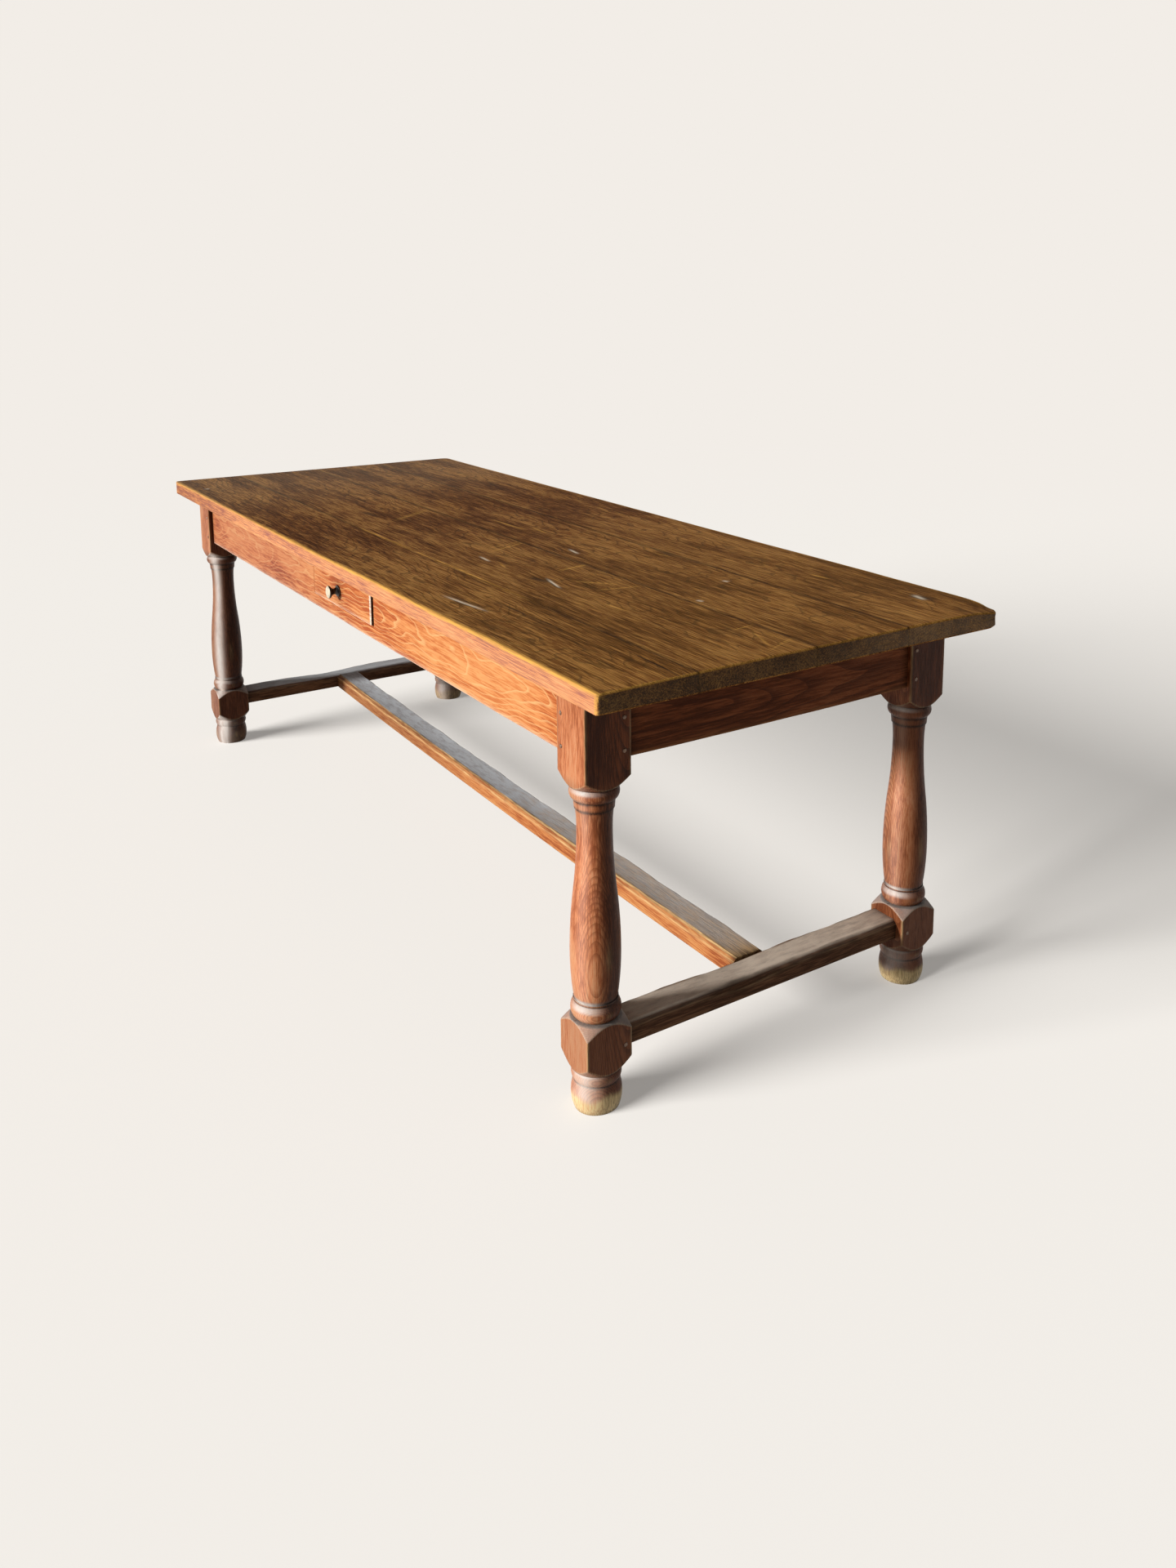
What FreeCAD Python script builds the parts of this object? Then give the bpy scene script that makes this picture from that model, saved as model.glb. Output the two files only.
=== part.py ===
import FreeCAD, Part
import math
import os
from types import SimpleNamespace

import Sketcher

# A refectory table in oak: four boards on four turned legs, aprons, an H of low stretchers and one drawer.
# Millimetres. The origin is on the floor under the middle of the top, +X runs along the table to the right
# as seen from the drawer's side, -Y points to that side and +Z is up.

SIZES = {
    # Top
    "table_height": 760,
    "top_length": 2330,
    "top_thickness": 36,
    "front_board_width": 182,
    "middle_front_board_width": 238,
    "middle_back_board_width": 207,
    "back_board_width": 237,
    "top_corner_radius": 18,
    "top_arris_radius": 5,
    "top_lower_arris_radius": 2.5,
    "board_joint_gap": 0.5,
    "tongue_thickness": 10,
    "tongue_length": 10,
    "tongue_end_gap": 1,
    # Legs, from the floor up to the vase and from the top down to it
    "leg_square": 86,
    "leg_end_inset": 100,
    "leg_side_inset": 39,
    "foot_height": 50,
    "foot_radius": 42.6,
    "foot_root_radius": 38.2,
    "foot_ring_height": 21,
    "foot_ring_radius": 42,
    "shoulder_radius": 42.4,
    "lower_shoulder_height": 22,
    "lower_block_height": 49,
    "middle_shoulder_height": 18,
    "ring_height": 30,
    "ring_radius": 42,
    "ring_root_radius": 35.5,
    "vase_fillet_height": 4,
    "vase_fillet_radius": 37.4,
    "vase_base_radius": 36.3,
    "belly_radius": 42,
    "neck_radius": 29.3,
    "vase_top_radius": 31.4,
    "band_lower_radius": 33,
    "band_upper_radius": 34.2,
    "band_height": 15,
    "collar_height": 24,
    "collar_radius": 41.2,
    "collar_root_radius": 34.8,
    "upper_shoulder_height": 19,
    "upper_block_height": 147,
    # Aprons
    "apron_height": 124,
    "apron_thickness": 28,
    "side_apron_recess": 11,
    "end_apron_recess": 9,
    "apron_tenon_length": 36,
    "apron_tenon_thickness": 10,
    "tenon_shoulder": 8,
    "tenon_haunch": 24,
    "mortise_end_gap": 1,
    # Stretchers
    "stretcher_thickness": 38,
    "left_stretcher_rise": 20,
    "right_stretcher_rise": 7,
    "end_stretcher_width": 66,
    "end_stretcher_recess": 17,
    "centre_stretcher_width": 70,
    "stretcher_chamfer": 8,
    "stretcher_sag": 9,
    "stretcher_tenon_length": 38,
    "stretcher_tenon_thickness": 14,
    "stretcher_tenon_shoulder": 5,
    "centre_tenon_length": 34,
    "centre_tenon_width": 40,
    "centre_tenon_thickness": 14,
    # Pegs
    "peg_radius": 4,
    "peg_clearance": 0.1,
    "peg_proud": 1.5,
    "peg_reach": 14,
    "peg_edge_distance": 13,
    "lower_peg_height": 18,
    "upper_peg_height": 73,
    # Drawer's place in the front apron
    "opening_left": 154,
    "opening_right": 200,
    "rail_height": 27,
    "drawer_left_gap": 1.5,
    "drawer_right_gap": 13,
    "drawer_top_gap": 2,
    "drawer_running_gap": 0.3,
    # Drawer
    "drawer_depth": 420,
    "drawer_front_thickness": 22,
    "drawer_side_thickness": 12,
    "drawer_side_drop": 12.7,
    "drawer_back_thickness": 12,
    "drawer_back_inset": 8,
    "drawer_back_drop": 6,
    "drawer_bottom_thickness": 7,
    "drawer_bottom_rise": 8,
    "drawer_groove_depth": 5,
    "drawer_groove_end_gap": 0.5,
    "tail_length": 15,
    "tail_root_width": 14,
    "tail_end_width": 20,
    "lower_tail_height": 19,
    "upper_tail_drop": 17,
    # Knob
    "knob_height": 37,
    "knob_base_radius": 13,
    "knob_base_thickness": 3,
    "knob_waist_radius": 6.6,
    "knob_waist_distance": 11,
    "knob_head_radius": 14,
    "knob_head_distance": 20,
    "knob_rim_thickness": 3,
    "knob_length": 26,
    "knob_dowel_radius": 5,
    # What carries the drawer and holds the top
    "runner_height": 22,
    "runner_bearing_width": 24,
    "runner_tenon_length": 8,
    "runner_tenon_thickness": 10,
    "guide_width": 22,
    "guide_height": 30,
    "guide_gap": 1,
    "stop_length": 25,
    "stop_height": 24,
    "stop_gap": 0.3,
    "bearer_width": 60,
    "bearer_height": 40,
    "bearer_offset": 560,
    "bearer_housing_depth": 10,
    "screw_shank_radius": 2.5,
    "screw_head_radius": 5,
    "screw_head_height": 3,
    "screw_head_depth": 12,
    "screw_bite": 22,
    "screw_clearance": 0.1,
    # How far a cut reaches past the face that it opens
    "overrun": 4,
}

# Where the vase is thickest and thinnest, as shares of its height.
BELLY_HEIGHT_SHARE = 0.24
NECK_HEIGHT_SHARE = 0.895
# Half of a square's diagonal, and the whole of it, as shares of the square's side.
HALF_DIAGONAL_SHARE = math.sqrt(2) / 2
DIAGONAL_SHARE = math.sqrt(2)

# Signs of the two ends and the two sides of the table.
LEFT, RIGHT = -1, 1
FRONT, BACK = -1, 1

# Turns that lay a cylinder's own axis along a direction.
TURNS = {
    "+x": FreeCAD.Rotation(FreeCAD.Vector(0, 1, 0), 90),
    "-x": FreeCAD.Rotation(FreeCAD.Vector(0, 1, 0), -90),
    "+y": FreeCAD.Rotation(FreeCAD.Vector(1, 0, 0), -90),
    "-y": FreeCAD.Rotation(FreeCAD.Vector(1, 0, 0), 90),
    "+z": FreeCAD.Rotation(),
}
TOLERANCE_SHARE = 1e-6


class Size:
    """A length as a number, together with the spreadsheet expression that gives the same length."""

    def __init__(self, value, text):
        self.value = value
        self.text = text

    @staticmethod
    def of(other):
        """Give a plain number the same form as a length."""
        return other if isinstance(other, Size) else Size(other, f"({other!r})")

    def join(self, sign, other, value):
        """Write two lengths and the sign between them as one expression."""
        return Size(value, f"({self.text} {sign} {other.text})")

    def __add__(self, other):
        other = Size.of(other)
        return self.join("+", other, self.value + other.value)

    def __sub__(self, other):
        other = Size.of(other)
        return self.join("-", other, self.value - other.value)

    def __mul__(self, other):
        other = Size.of(other)
        return self.join("*", other, self.value * other.value)

    def __truediv__(self, other):
        other = Size.of(other)
        return self.join("/", other, self.value / other.value)

    def __rmul__(self, other):
        return self * other

    def __neg__(self):
        return self * -1


ZERO = Size(0, "0")
doc = FreeCAD.newDocument("refectory_table")
sheet = doc.addObject("Spreadsheet::Sheet", "sizes")
for row, (alias, number) in enumerate(SIZES.items(), start=1):
    sheet.set(f"A{row}", alias)
    sheet.set(f"B{row}", str(number))
    sheet.setAlias(f"B{row}", alias)
doc.recompute()
s = SimpleNamespace(**{alias: Size(number, f"sizes.{alias}") for alias, number in SIZES.items()})
pieces = []


# Lengths that several pieces share

leg_length = s.table_height - s.top_thickness
leg_half = s.leg_square / 2
half_diagonal = s.leg_square * HALF_DIAGONAL_SHARE
front_pair_width = s.front_board_width + s.middle_front_board_width
back_pair_width = s.middle_back_board_width + s.back_board_width
top_width = front_pair_width + back_pair_width
leg_face_x = s.top_length / 2 - s.leg_end_inset
leg_face_y = top_width / 2 - s.leg_side_inset
side_apron_length = (leg_face_x - s.leg_square) * 2
end_apron_length = (leg_face_y - s.leg_square) * 2
apron_bottom = leg_length - s.apron_height
side_apron_face = leg_face_y - s.side_apron_recess
side_apron_inside = side_apron_face - s.apron_thickness
apron_tenon_height = s.apron_height - s.tenon_shoulder - s.tenon_haunch
apron_tenon_middle = s.tenon_shoulder + apron_tenon_height / 2
lower_block_bottom = s.foot_height + s.foot_ring_height + s.lower_shoulder_height
lower_block_top = lower_block_bottom + s.lower_block_height
stretcher_bottom = {
    LEFT: lower_block_bottom + s.left_stretcher_rise,
    RIGHT: lower_block_bottom + s.right_stretcher_rise,
}
end_stretcher_middle = s.end_stretcher_recess + s.end_stretcher_width / 2
stretcher_tenon_height = s.stretcher_thickness - s.stretcher_chamfer - s.stretcher_tenon_shoulder * 2
stretcher_tenon_middle = s.stretcher_tenon_shoulder + stretcher_tenon_height / 2
peg_hole_radius = s.peg_radius + s.peg_clearance
runner_top = apron_bottom + s.rail_height
drawer_bottom_edge = runner_top + s.drawer_running_gap
drawer_left_end = s.drawer_left_gap - s.opening_left
drawer_right_end = s.opening_right - s.drawer_right_gap
drawer_width = drawer_right_end - drawer_left_end
drawer_middle = (drawer_left_end + drawer_right_end) / 2
drawer_inner_width = drawer_width - s.drawer_side_thickness * 2
drawer_front_height = leg_length - s.drawer_top_gap - drawer_bottom_edge
drawer_side_height = drawer_front_height - s.drawer_side_drop
drawer_front_inside = s.drawer_front_thickness - side_apron_face
drawer_end = s.drawer_depth - side_apron_face
runner_width = s.guide_width + s.guide_gap + s.runner_bearing_width
runner_middle = {
    LEFT: drawer_left_end + s.runner_bearing_width - runner_width / 2,
    RIGHT: drawer_right_end - s.runner_bearing_width + runner_width / 2,
}
runner_tenon_middle = runner_top - s.runner_height / 2


# Small tools for drawing pieces

def new_body(name, origin):
    """Start a piece, with its own origin at a point of the table."""
    body = doc.addObject("PartDesign::Body", name)
    body.Label = name
    place(body, origin)
    pieces.append(body)
    return body


def place(item, point):
    """Bind the place of an item to a point given as three lengths."""
    for axis, length in zip("xyz", point):
        item.setExpression(f".Placement.Base.{axis}", length.text)


def block(body, kind, name, centre, extent):
    """Add or cut a block, given by its middle and its three extents."""
    item = body.newObject(f"PartDesign::{kind}Box", f"{body.Name}_{name}")
    for side, length in zip(("Length", "Width", "Height"), extent):
        item.setExpression(side, length.text)
    place(item, [middle - length / 2 for middle, length in zip(centre, extent)])
    return item


def add_block(body, name, centre, extent):
    """Add a block to a piece."""
    return block(body, "Additive", name, centre, extent)


def cut_block(body, name, centre, extent):
    """Cut a block out of a piece."""
    return block(body, "Subtractive", name, centre, extent)


def lay_cylinder(item, start, direction, radius, length):
    """Size a cylinder and lay it from a point along one of the table's directions."""
    item.Placement = FreeCAD.Placement(FreeCAD.Vector(), TURNS[direction])
    item.setExpression("Radius", radius.text)
    item.setExpression("Height", length.text)
    place(item, start)
    return item


def drill(body, name, start, direction, radius, length):
    """Drill a round hole into a piece."""
    hole = body.newObject("PartDesign::SubtractiveCylinder", f"{body.Name}_{name}")
    return lay_cylinder(hole, start, direction, radius, length)


def rod(name, start, direction, radius, length):
    """Make a round rod that stands by itself."""
    return lay_cylinder(doc.addObject("Part::Cylinder", name), start, direction, radius, length)


def cut_arris_along_y(body, name, middle, length, chamfer):
    """Chamfer an edge that runs along Y, with a square bar on its corner that is turned by 45 degrees."""
    bar = body.newObject("PartDesign::SubtractiveBox", f"{body.Name}_{name}")
    bar.Placement = FreeCAD.Placement(FreeCAD.Vector(), FreeCAD.Rotation(FreeCAD.Vector(0, 1, 0), 45))
    bar.setExpression("Length", (chamfer * DIAGONAL_SHARE).text)
    bar.setExpression("Width", length.text)
    bar.setExpression("Height", (chamfer * DIAGONAL_SHARE).text)
    place(bar, (middle[0] - chamfer, middle[1] - length / 2, middle[2]))


def corner(across, along, centre=None):
    """A corner of an outline; the edge that leaves it is an arc about centre, or straight."""
    return SimpleNamespace(across=across, along=along, centre=centre)


def bulge_centre(start, end, height):
    """Centre of the arc between two corners one above the other that swells out by a height."""
    half_chord = (end.along - start.along) / 2
    radius = (half_chord * half_chord + height * height) / (height * 2)
    return start.across + height - radius, (start.along + end.along) / 2


def bead(across, low, high, widest):
    """The lower corner of a rounded bead between two heights."""
    lower = corner(across, low)
    lower.centre = bulge_centre(lower, corner(across, high), widest - across)
    return lower


def point_of(mark):
    """The point of an outline's corner, in numbers."""
    return FreeCAD.Vector(mark[0].value, mark[1].value, 0)


def draw_outline(body, name, role, corners):
    """Draw a closed outline on a plane of the piece and hold every corner and every arc to the sizes."""
    sketch = body.newObject("Sketcher::SketchObject", f"{body.Name}_{name}")
    plane = next(item for item in body.Origin.OriginFeatures if item.Role == role)
    sketch.AttachmentSupport = [(plane, "")]
    sketch.MapMode = "FlatFace"
    for here, there in zip(corners, corners[1:] + corners[:1]):
        start = point_of((here.across, here.along))
        end = point_of((there.across, there.along))
        if here.centre is None:
            sketch.addGeometry(Part.LineSegment(start, end), False)
        else:
            middle = point_of(here.centre)
            outward = (start + end) / 2 - middle
            crown = middle + outward.normalize() * (start - middle).Length
            sketch.addGeometry(Part.Arc(start, crown, end), False)
    ends = [end_numbers(sketch, index, mark) for index, mark in enumerate(corners)]
    for index, mark in enumerate(corners):
        first, last = ends[index]
        following = (index + 1) % len(corners)
        run = sketch.getPoint(index, last) - sketch.getPoint(index, first)
        sketch.addConstraint(Sketcher.Constraint("Coincident", index, last, following, ends[following][0]))
        hold(sketch, "DistanceX", index, first, mark.across)
        hold(sketch, "DistanceY", index, first, mark.along)
        if mark.centre is not None and abs(run.x) < abs(run.y):
            hold(sketch, "DistanceX", index, 3, mark.centre[0])
        elif mark.centre is not None:
            hold(sketch, "DistanceY", index, 3, mark.centre[1])
    return sketch


def end_numbers(sketch, index, mark):
    """Numbers of an edge's first and last point, as the outline runs."""
    gap = sketch.getPoint(index, 1) - point_of((mark.across, mark.along))
    opposite = sketch.getPoint(index, 2) - point_of((mark.across, mark.along))
    return (1, 2) if gap.Length < opposite.Length else (2, 1)


def hold(sketch, kind, index, end, length):
    """Bind one coordinate of a sketched point to a length."""
    if length is ZERO:
        axis = -2 if kind == "DistanceX" else -1
        sketch.addConstraint(Sketcher.Constraint("PointOnObject", index, end, axis))
        return
    number = sketch.addConstraint(Sketcher.Constraint(kind, -1, 1, index, end, length.value))
    sketch.setExpression(f"Constraints[{number}]", length.text)


def turn_away(body, name, corners):
    """Turn away what lies outside a profile, about the piece's upright axis."""
    groove = body.newObject("PartDesign::Groove", f"{body.Name}_{name}")
    groove.Profile = draw_outline(body, f"{name}_profile", "XZ_Plane", corners)
    groove.ReferenceAxis = (groove.Profile[0], ["V_Axis"])
    groove.Angle = 360


def edges_of(body, wanted):
    """The piece's last feature and the names of its edges whose middle point passes a test."""
    doc.recompute()
    chosen = []
    for number, edge in enumerate(body.Tip.Shape.Edges, start=1):
        middle = edge.valueAt((edge.FirstParameter + edge.LastParameter) / 2)
        if wanted(middle):
            chosen.append(f"Edge{number}")
    return body.Tip, chosen


def round_edges(body, name, radius, wanted):
    """Round the edges whose middle point passes a test."""
    chosen = edges_of(body, wanted)
    fillet = body.newObject("PartDesign::Fillet", f"{body.Name}_{name}")
    fillet.Base = chosen
    fillet.setExpression("Radius", radius.text)


def same(one, other):
    """Whether two numbers are one length, within rounding."""
    return abs(one - other) < TOLERANCE_SHARE * s.top_length.value


def group(name, members):
    """Keep like pieces together under one name."""
    compound = doc.addObject("Part::Compound", name)
    compound.Label = name
    compound.Links = members
    pieces.append(compound)


# Top

def board_edges():
    """Each board's name and the places across the table where it starts and ends, front to back."""
    names = ("front", "middle_front", "middle_back", "back")
    start = -(top_width / 2)
    table = []
    for name in names:
        width = getattr(s, f"{name}_board_width")
        table.append((f"top_board_{name}", start, start + width))
        start = start + width
    return table


def screw_places():
    """Where a bearer's screws stand across the table: in the middle of each board, between the aprons."""
    places = []
    for number, (name, start, end) in enumerate(board_edges()):
        if number == 0:
            start = -side_apron_inside
        if number == len(board_edges()) - 1:
            end = side_apron_inside
        places.append((start + end) / 2)
    return places


def make_top():
    """Four boards joined by tongues and grooves, the outer two with rounded corners."""
    table = board_edges()
    for number, (name, start, end) in enumerate(table):
        first = number == 0
        last = number == len(table) - 1
        front_edge = start if first else start + s.board_joint_gap / 2
        back_edge = end if last else end - s.board_joint_gap / 2
        width = back_edge - front_edge
        middle = (front_edge + back_edge) / 2
        body = new_body(name, (ZERO, middle, leg_length))
        add_block(body, "board", (ZERO, ZERO, s.top_thickness / 2), (s.top_length, width, s.top_thickness))
        round_board(body, width.value / 2, first, last)
        tongue_middle = s.top_thickness / 2
        if not last:
            reach = s.tongue_length + s.board_joint_gap
            add_block(body, "tongue", (ZERO, width / 2 + reach / 2, tongue_middle),
                      (s.top_length, reach, s.tongue_thickness))
        if not first:
            depth = s.tongue_length + s.tongue_end_gap
            cut_block(body, "groove", (ZERO, (depth - s.overrun - width) / 2, tongue_middle),
                      (s.top_length + s.overrun, depth + s.overrun, s.tongue_thickness))
        for end_name, sign in (("left", LEFT), ("right", RIGHT)):
            start = (sign * s.bearer_offset, screw_places()[number] - middle, ZERO)
            drill(body, f"{end_name}_screw_hole", start, "+z",
                  s.screw_shank_radius + s.screw_clearance, s.screw_bite + s.screw_clearance)


def round_board(body, half_width, first, last):
    """Round a board's outer corners and ease its outer edges, above and below."""
    half_length = s.top_length.value / 2
    thickness = s.top_thickness.value

    def is_joint(point):
        return (same(point.y, half_width) and not last) or (same(point.y, -half_width) and not first)

    def is_corner(point):
        return same(point.z, thickness / 2) and same(abs(point.x), half_length) and not is_joint(point)

    def is_upper(point):
        return same(point.z, thickness) and not is_joint(point)

    def is_lower(point):
        return same(point.z, 0) and not is_joint(point)

    if first or last:
        round_edges(body, "corners", s.top_corner_radius, is_corner)
    round_edges(body, "upper_arris", s.top_arris_radius, is_upper)
    round_edges(body, "lower_arris", s.top_lower_arris_radius, is_lower)


# Legs

def foot_profile():
    """The foot and the ring over it, from the floor to the lower block."""
    outside = half_diagonal + s.overrun
    ring_top = s.foot_height + s.foot_ring_height
    slope = s.lower_shoulder_height / (half_diagonal - s.shoulder_radius)
    return [
        corner(outside, -s.overrun),
        corner(s.foot_root_radius, -s.overrun),
        bead(s.foot_root_radius, ZERO, s.foot_height, s.foot_radius),
        bead(s.foot_root_radius, s.foot_height, ring_top, s.foot_ring_radius),
        corner(s.foot_root_radius, ring_top),
        corner(s.shoulder_radius, ring_top),
        corner(outside, lower_block_bottom + slope * s.overrun),
    ]


def vase_profile():
    """Ring, vase, band and collar, from the lower block to the upper one."""
    outside = half_diagonal + s.overrun
    ring_bottom = lower_block_top + s.middle_shoulder_height
    ring_top = ring_bottom + s.ring_height
    vase_bottom = ring_top + s.vase_fillet_height
    block_bottom = leg_length - s.upper_block_height
    collar_top = block_bottom - s.upper_shoulder_height
    collar_bottom = collar_top - s.collar_height
    vase_top = collar_bottom - s.band_height
    vase_height = vase_top - vase_bottom
    belly = vase_bottom + vase_height * BELLY_HEIGHT_SHARE
    neck = vase_bottom + vase_height * NECK_HEIGHT_SHARE
    swell = (s.belly_radius + s.neck_radius) / 2
    swell_height = (belly + neck) / 2
    lower_slope = s.middle_shoulder_height / (half_diagonal - s.shoulder_radius)
    upper_slope = s.upper_shoulder_height / (half_diagonal - s.shoulder_radius)

    def upright_radius(side, rise):
        """Radius of the arc that leaves upright and moves aside while it rises."""
        return (side * side + rise * rise) / (side * 2)

    belly_below = upright_radius(s.belly_radius - s.vase_base_radius, belly - vase_bottom)
    belly_above = upright_radius(s.belly_radius - swell, swell_height - belly)
    neck_below = upright_radius(swell - s.neck_radius, neck - swell_height)
    neck_above = upright_radius(s.vase_top_radius - s.neck_radius, vase_top - neck)
    return [
        corner(outside, lower_block_top - lower_slope * s.overrun),
        corner(s.shoulder_radius, ring_bottom),
        bead(s.ring_root_radius, ring_bottom, ring_top, s.ring_radius),
        corner(s.ring_root_radius, ring_top),
        corner(s.vase_fillet_radius, ring_top),
        corner(s.vase_fillet_radius, vase_bottom),
        corner(s.vase_base_radius, vase_bottom, (s.belly_radius - belly_below, belly)),
        corner(s.belly_radius, belly, (s.belly_radius - belly_above, belly)),
        corner(swell, swell_height, (s.neck_radius + neck_below, neck)),
        corner(s.neck_radius, neck, (s.neck_radius + neck_above, neck)),
        corner(s.vase_top_radius, vase_top),
        corner(s.band_lower_radius, vase_top),
        corner(s.band_upper_radius, collar_bottom),
        bead(s.collar_root_radius, collar_bottom, collar_top, s.collar_radius),
        corner(s.collar_root_radius, collar_top),
        corner(s.shoulder_radius, collar_top),
        corner(outside, block_bottom + upper_slope * s.overrun),
    ]


def mortise_leg(body, end, side):
    """Cut the two apron mortises and the stretcher mortise, and drill the peg holes."""
    depth = s.apron_tenon_length + s.mortise_end_gap
    reach = depth + s.overrun
    apron_height_middle = apron_bottom + apron_tenon_middle
    side_tenon = leg_half - s.side_apron_recess - s.apron_thickness / 2
    end_tenon = leg_half - s.end_apron_recess - s.apron_thickness / 2
    inward = leg_half - depth + reach / 2
    cut_block(body, "side_mortise", (-end * inward, side * side_tenon, apron_height_middle),
              (reach, s.apron_tenon_thickness, apron_tenon_height))
    cut_block(body, "end_mortise", (end * end_tenon, -side * inward, apron_height_middle),
              (s.apron_tenon_thickness, reach, apron_tenon_height))
    stretcher_reach = s.stretcher_tenon_length + s.mortise_end_gap + s.overrun
    stretcher_inward = leg_half + s.overrun - stretcher_reach / 2
    cut_block(body, "stretcher_mortise",
              (end * (leg_half - end_stretcher_middle), -side * stretcher_inward,
               stretcher_bottom[end] + stretcher_tenon_middle),
              (s.stretcher_tenon_thickness, stretcher_reach, stretcher_tenon_height))
    for peg in leg_pegs(end, side):
        start = [place_of_peg - axis for place_of_peg, axis in zip(peg.start, leg_axis(end, side))]
        drill(body, peg.name, start, peg.direction, peg_hole_radius, peg.length + s.peg_clearance)


def leg_axis(end, side):
    """The foot of a leg's axis."""
    return end * (leg_face_x - leg_half), side * (leg_face_y - leg_half), ZERO


def leg_pegs(end, side):
    """The pegs of one leg: two for each apron and one for the end stretcher."""
    past_tenon = s.apron_tenon_thickness / 2 + s.peg_reach + s.peg_proud
    across_side = side * (leg_face_y + s.peg_proud)
    across_end = end * (leg_face_x + s.peg_proud)
    inner_x = end * (leg_face_x - s.leg_square + s.peg_edge_distance)
    inner_y = side * (leg_face_y - s.leg_square + s.peg_edge_distance)
    side_length = s.side_apron_recess + s.apron_thickness / 2 + past_tenon
    end_length = s.end_apron_recess + s.apron_thickness / 2 + past_tenon
    low_length = end_stretcher_middle + s.stretcher_tenon_thickness / 2 + s.peg_reach + s.peg_proud
    inward_x = "-x" if end == RIGHT else "+x"
    inward_y = "-y" if side == BACK else "+y"
    pegs = []
    for level, height in (("lower", s.lower_peg_height), ("upper", s.upper_peg_height)):
        up = apron_bottom + height
        pegs.append(SimpleNamespace(name=f"{level}_side_peg", start=(inner_x, across_side, up),
                                    direction=inward_y, length=side_length, kind="apron"))
        pegs.append(SimpleNamespace(name=f"{level}_end_peg", start=(across_end, inner_y, up),
                                    direction=inward_x, length=end_length, kind="apron"))
    pegs.append(SimpleNamespace(name="stretcher_peg",
                                start=(across_end, inner_y, stretcher_bottom[end] + stretcher_tenon_middle),
                                direction=inward_x, length=low_length, kind="stretcher"))
    return pegs


def make_legs():
    """Four turned legs, each one piece of square stock."""
    for end_name, end in (("left", LEFT), ("right", RIGHT)):
        for side_name, side in (("front", FRONT), ("back", BACK)):
            body = new_body(f"leg_{side_name}_{end_name}", leg_axis(end, side))
            add_block(body, "stock", (ZERO, ZERO, leg_length / 2), (s.leg_square, s.leg_square, leg_length))
            turn_away(body, "foot", foot_profile())
            turn_away(body, "vase", vase_profile())
            mortise_leg(body, end, side)


# Aprons

def make_side_aprons():
    """The front apron, notched for the drawer, and the back apron, both tenoned into the legs."""
    middle_y = side_apron_face - s.apron_thickness / 2
    for name, side in (("front_apron", FRONT), ("back_apron", BACK)):
        body = new_body(name, (ZERO, side * middle_y, apron_bottom))
        add_block(body, "board", (ZERO, ZERO, s.apron_height / 2),
                  (side_apron_length, s.apron_thickness, s.apron_height))
        tenon_x = side_apron_length / 2 + s.apron_tenon_length / 2
        peg_x = side_apron_length / 2 + s.peg_edge_distance
        for end_name, end in (("left", LEFT), ("right", RIGHT)):
            add_block(body, f"{end_name}_tenon", (end * tenon_x, ZERO, apron_tenon_middle),
                      (s.apron_tenon_length, s.apron_tenon_thickness, apron_tenon_height))
            for level, height in (("lower", s.lower_peg_height), ("upper", s.upper_peg_height)):
                start = (end * peg_x, -s.apron_tenon_thickness, height)
                drill(body, f"{end_name}_{level}_peg_hole", start, "+y",
                      peg_hole_radius, s.apron_tenon_thickness * 2)
            cut_runner_mortise(body, end_name, end, side)
            housing = s.bearer_housing_depth
            cut_block(body, f"{end_name}_bearer_housing",
                      (end * s.bearer_offset, -side * (s.apron_thickness - housing + s.overrun) / 2,
                       s.apron_height - (s.bearer_height - s.overrun) / 2),
                      (s.bearer_width, housing + s.overrun, s.bearer_height + s.overrun))
        if side == FRONT:
            notch = s.apron_height - s.rail_height + s.overrun
            cut_block(body, "drawer_notch",
                      ((s.opening_right - s.opening_left) / 2, ZERO, s.rail_height + notch / 2),
                      (s.opening_left + s.opening_right, s.apron_thickness + s.overrun, notch))


def cut_runner_mortise(body, end_name, end, side):
    """Cut the shallow mortise in which a drawer runner ends."""
    depth = s.runner_tenon_length
    cut_block(body, f"{end_name}_runner_mortise",
              (runner_middle[end], -side * (s.apron_thickness - depth + s.overrun) / 2,
               runner_tenon_middle - apron_bottom),
              (runner_width, depth + s.overrun, s.runner_tenon_thickness))


def make_end_aprons():
    """The two end aprons, tenoned into the legs."""
    middle_x = leg_face_x - s.end_apron_recess - s.apron_thickness / 2
    for name, end in (("left_end_apron", LEFT), ("right_end_apron", RIGHT)):
        body = new_body(name, (end * middle_x, ZERO, apron_bottom))
        add_block(body, "board", (ZERO, ZERO, s.apron_height / 2),
                  (s.apron_thickness, end_apron_length, s.apron_height))
        tenon_y = end_apron_length / 2 + s.apron_tenon_length / 2
        peg_y = end_apron_length / 2 + s.peg_edge_distance
        for side_name, side in (("front", FRONT), ("back", BACK)):
            add_block(body, f"{side_name}_tenon", (ZERO, side * tenon_y, apron_tenon_middle),
                      (s.apron_tenon_thickness, s.apron_tenon_length, apron_tenon_height))
            for level, height in (("lower", s.lower_peg_height), ("upper", s.upper_peg_height)):
                start = (-s.apron_tenon_thickness, side * peg_y, height)
                drill(body, f"{side_name}_{level}_peg_hole", start, "+x",
                      peg_hole_radius, s.apron_tenon_thickness * 2)


# Stretchers

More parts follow.
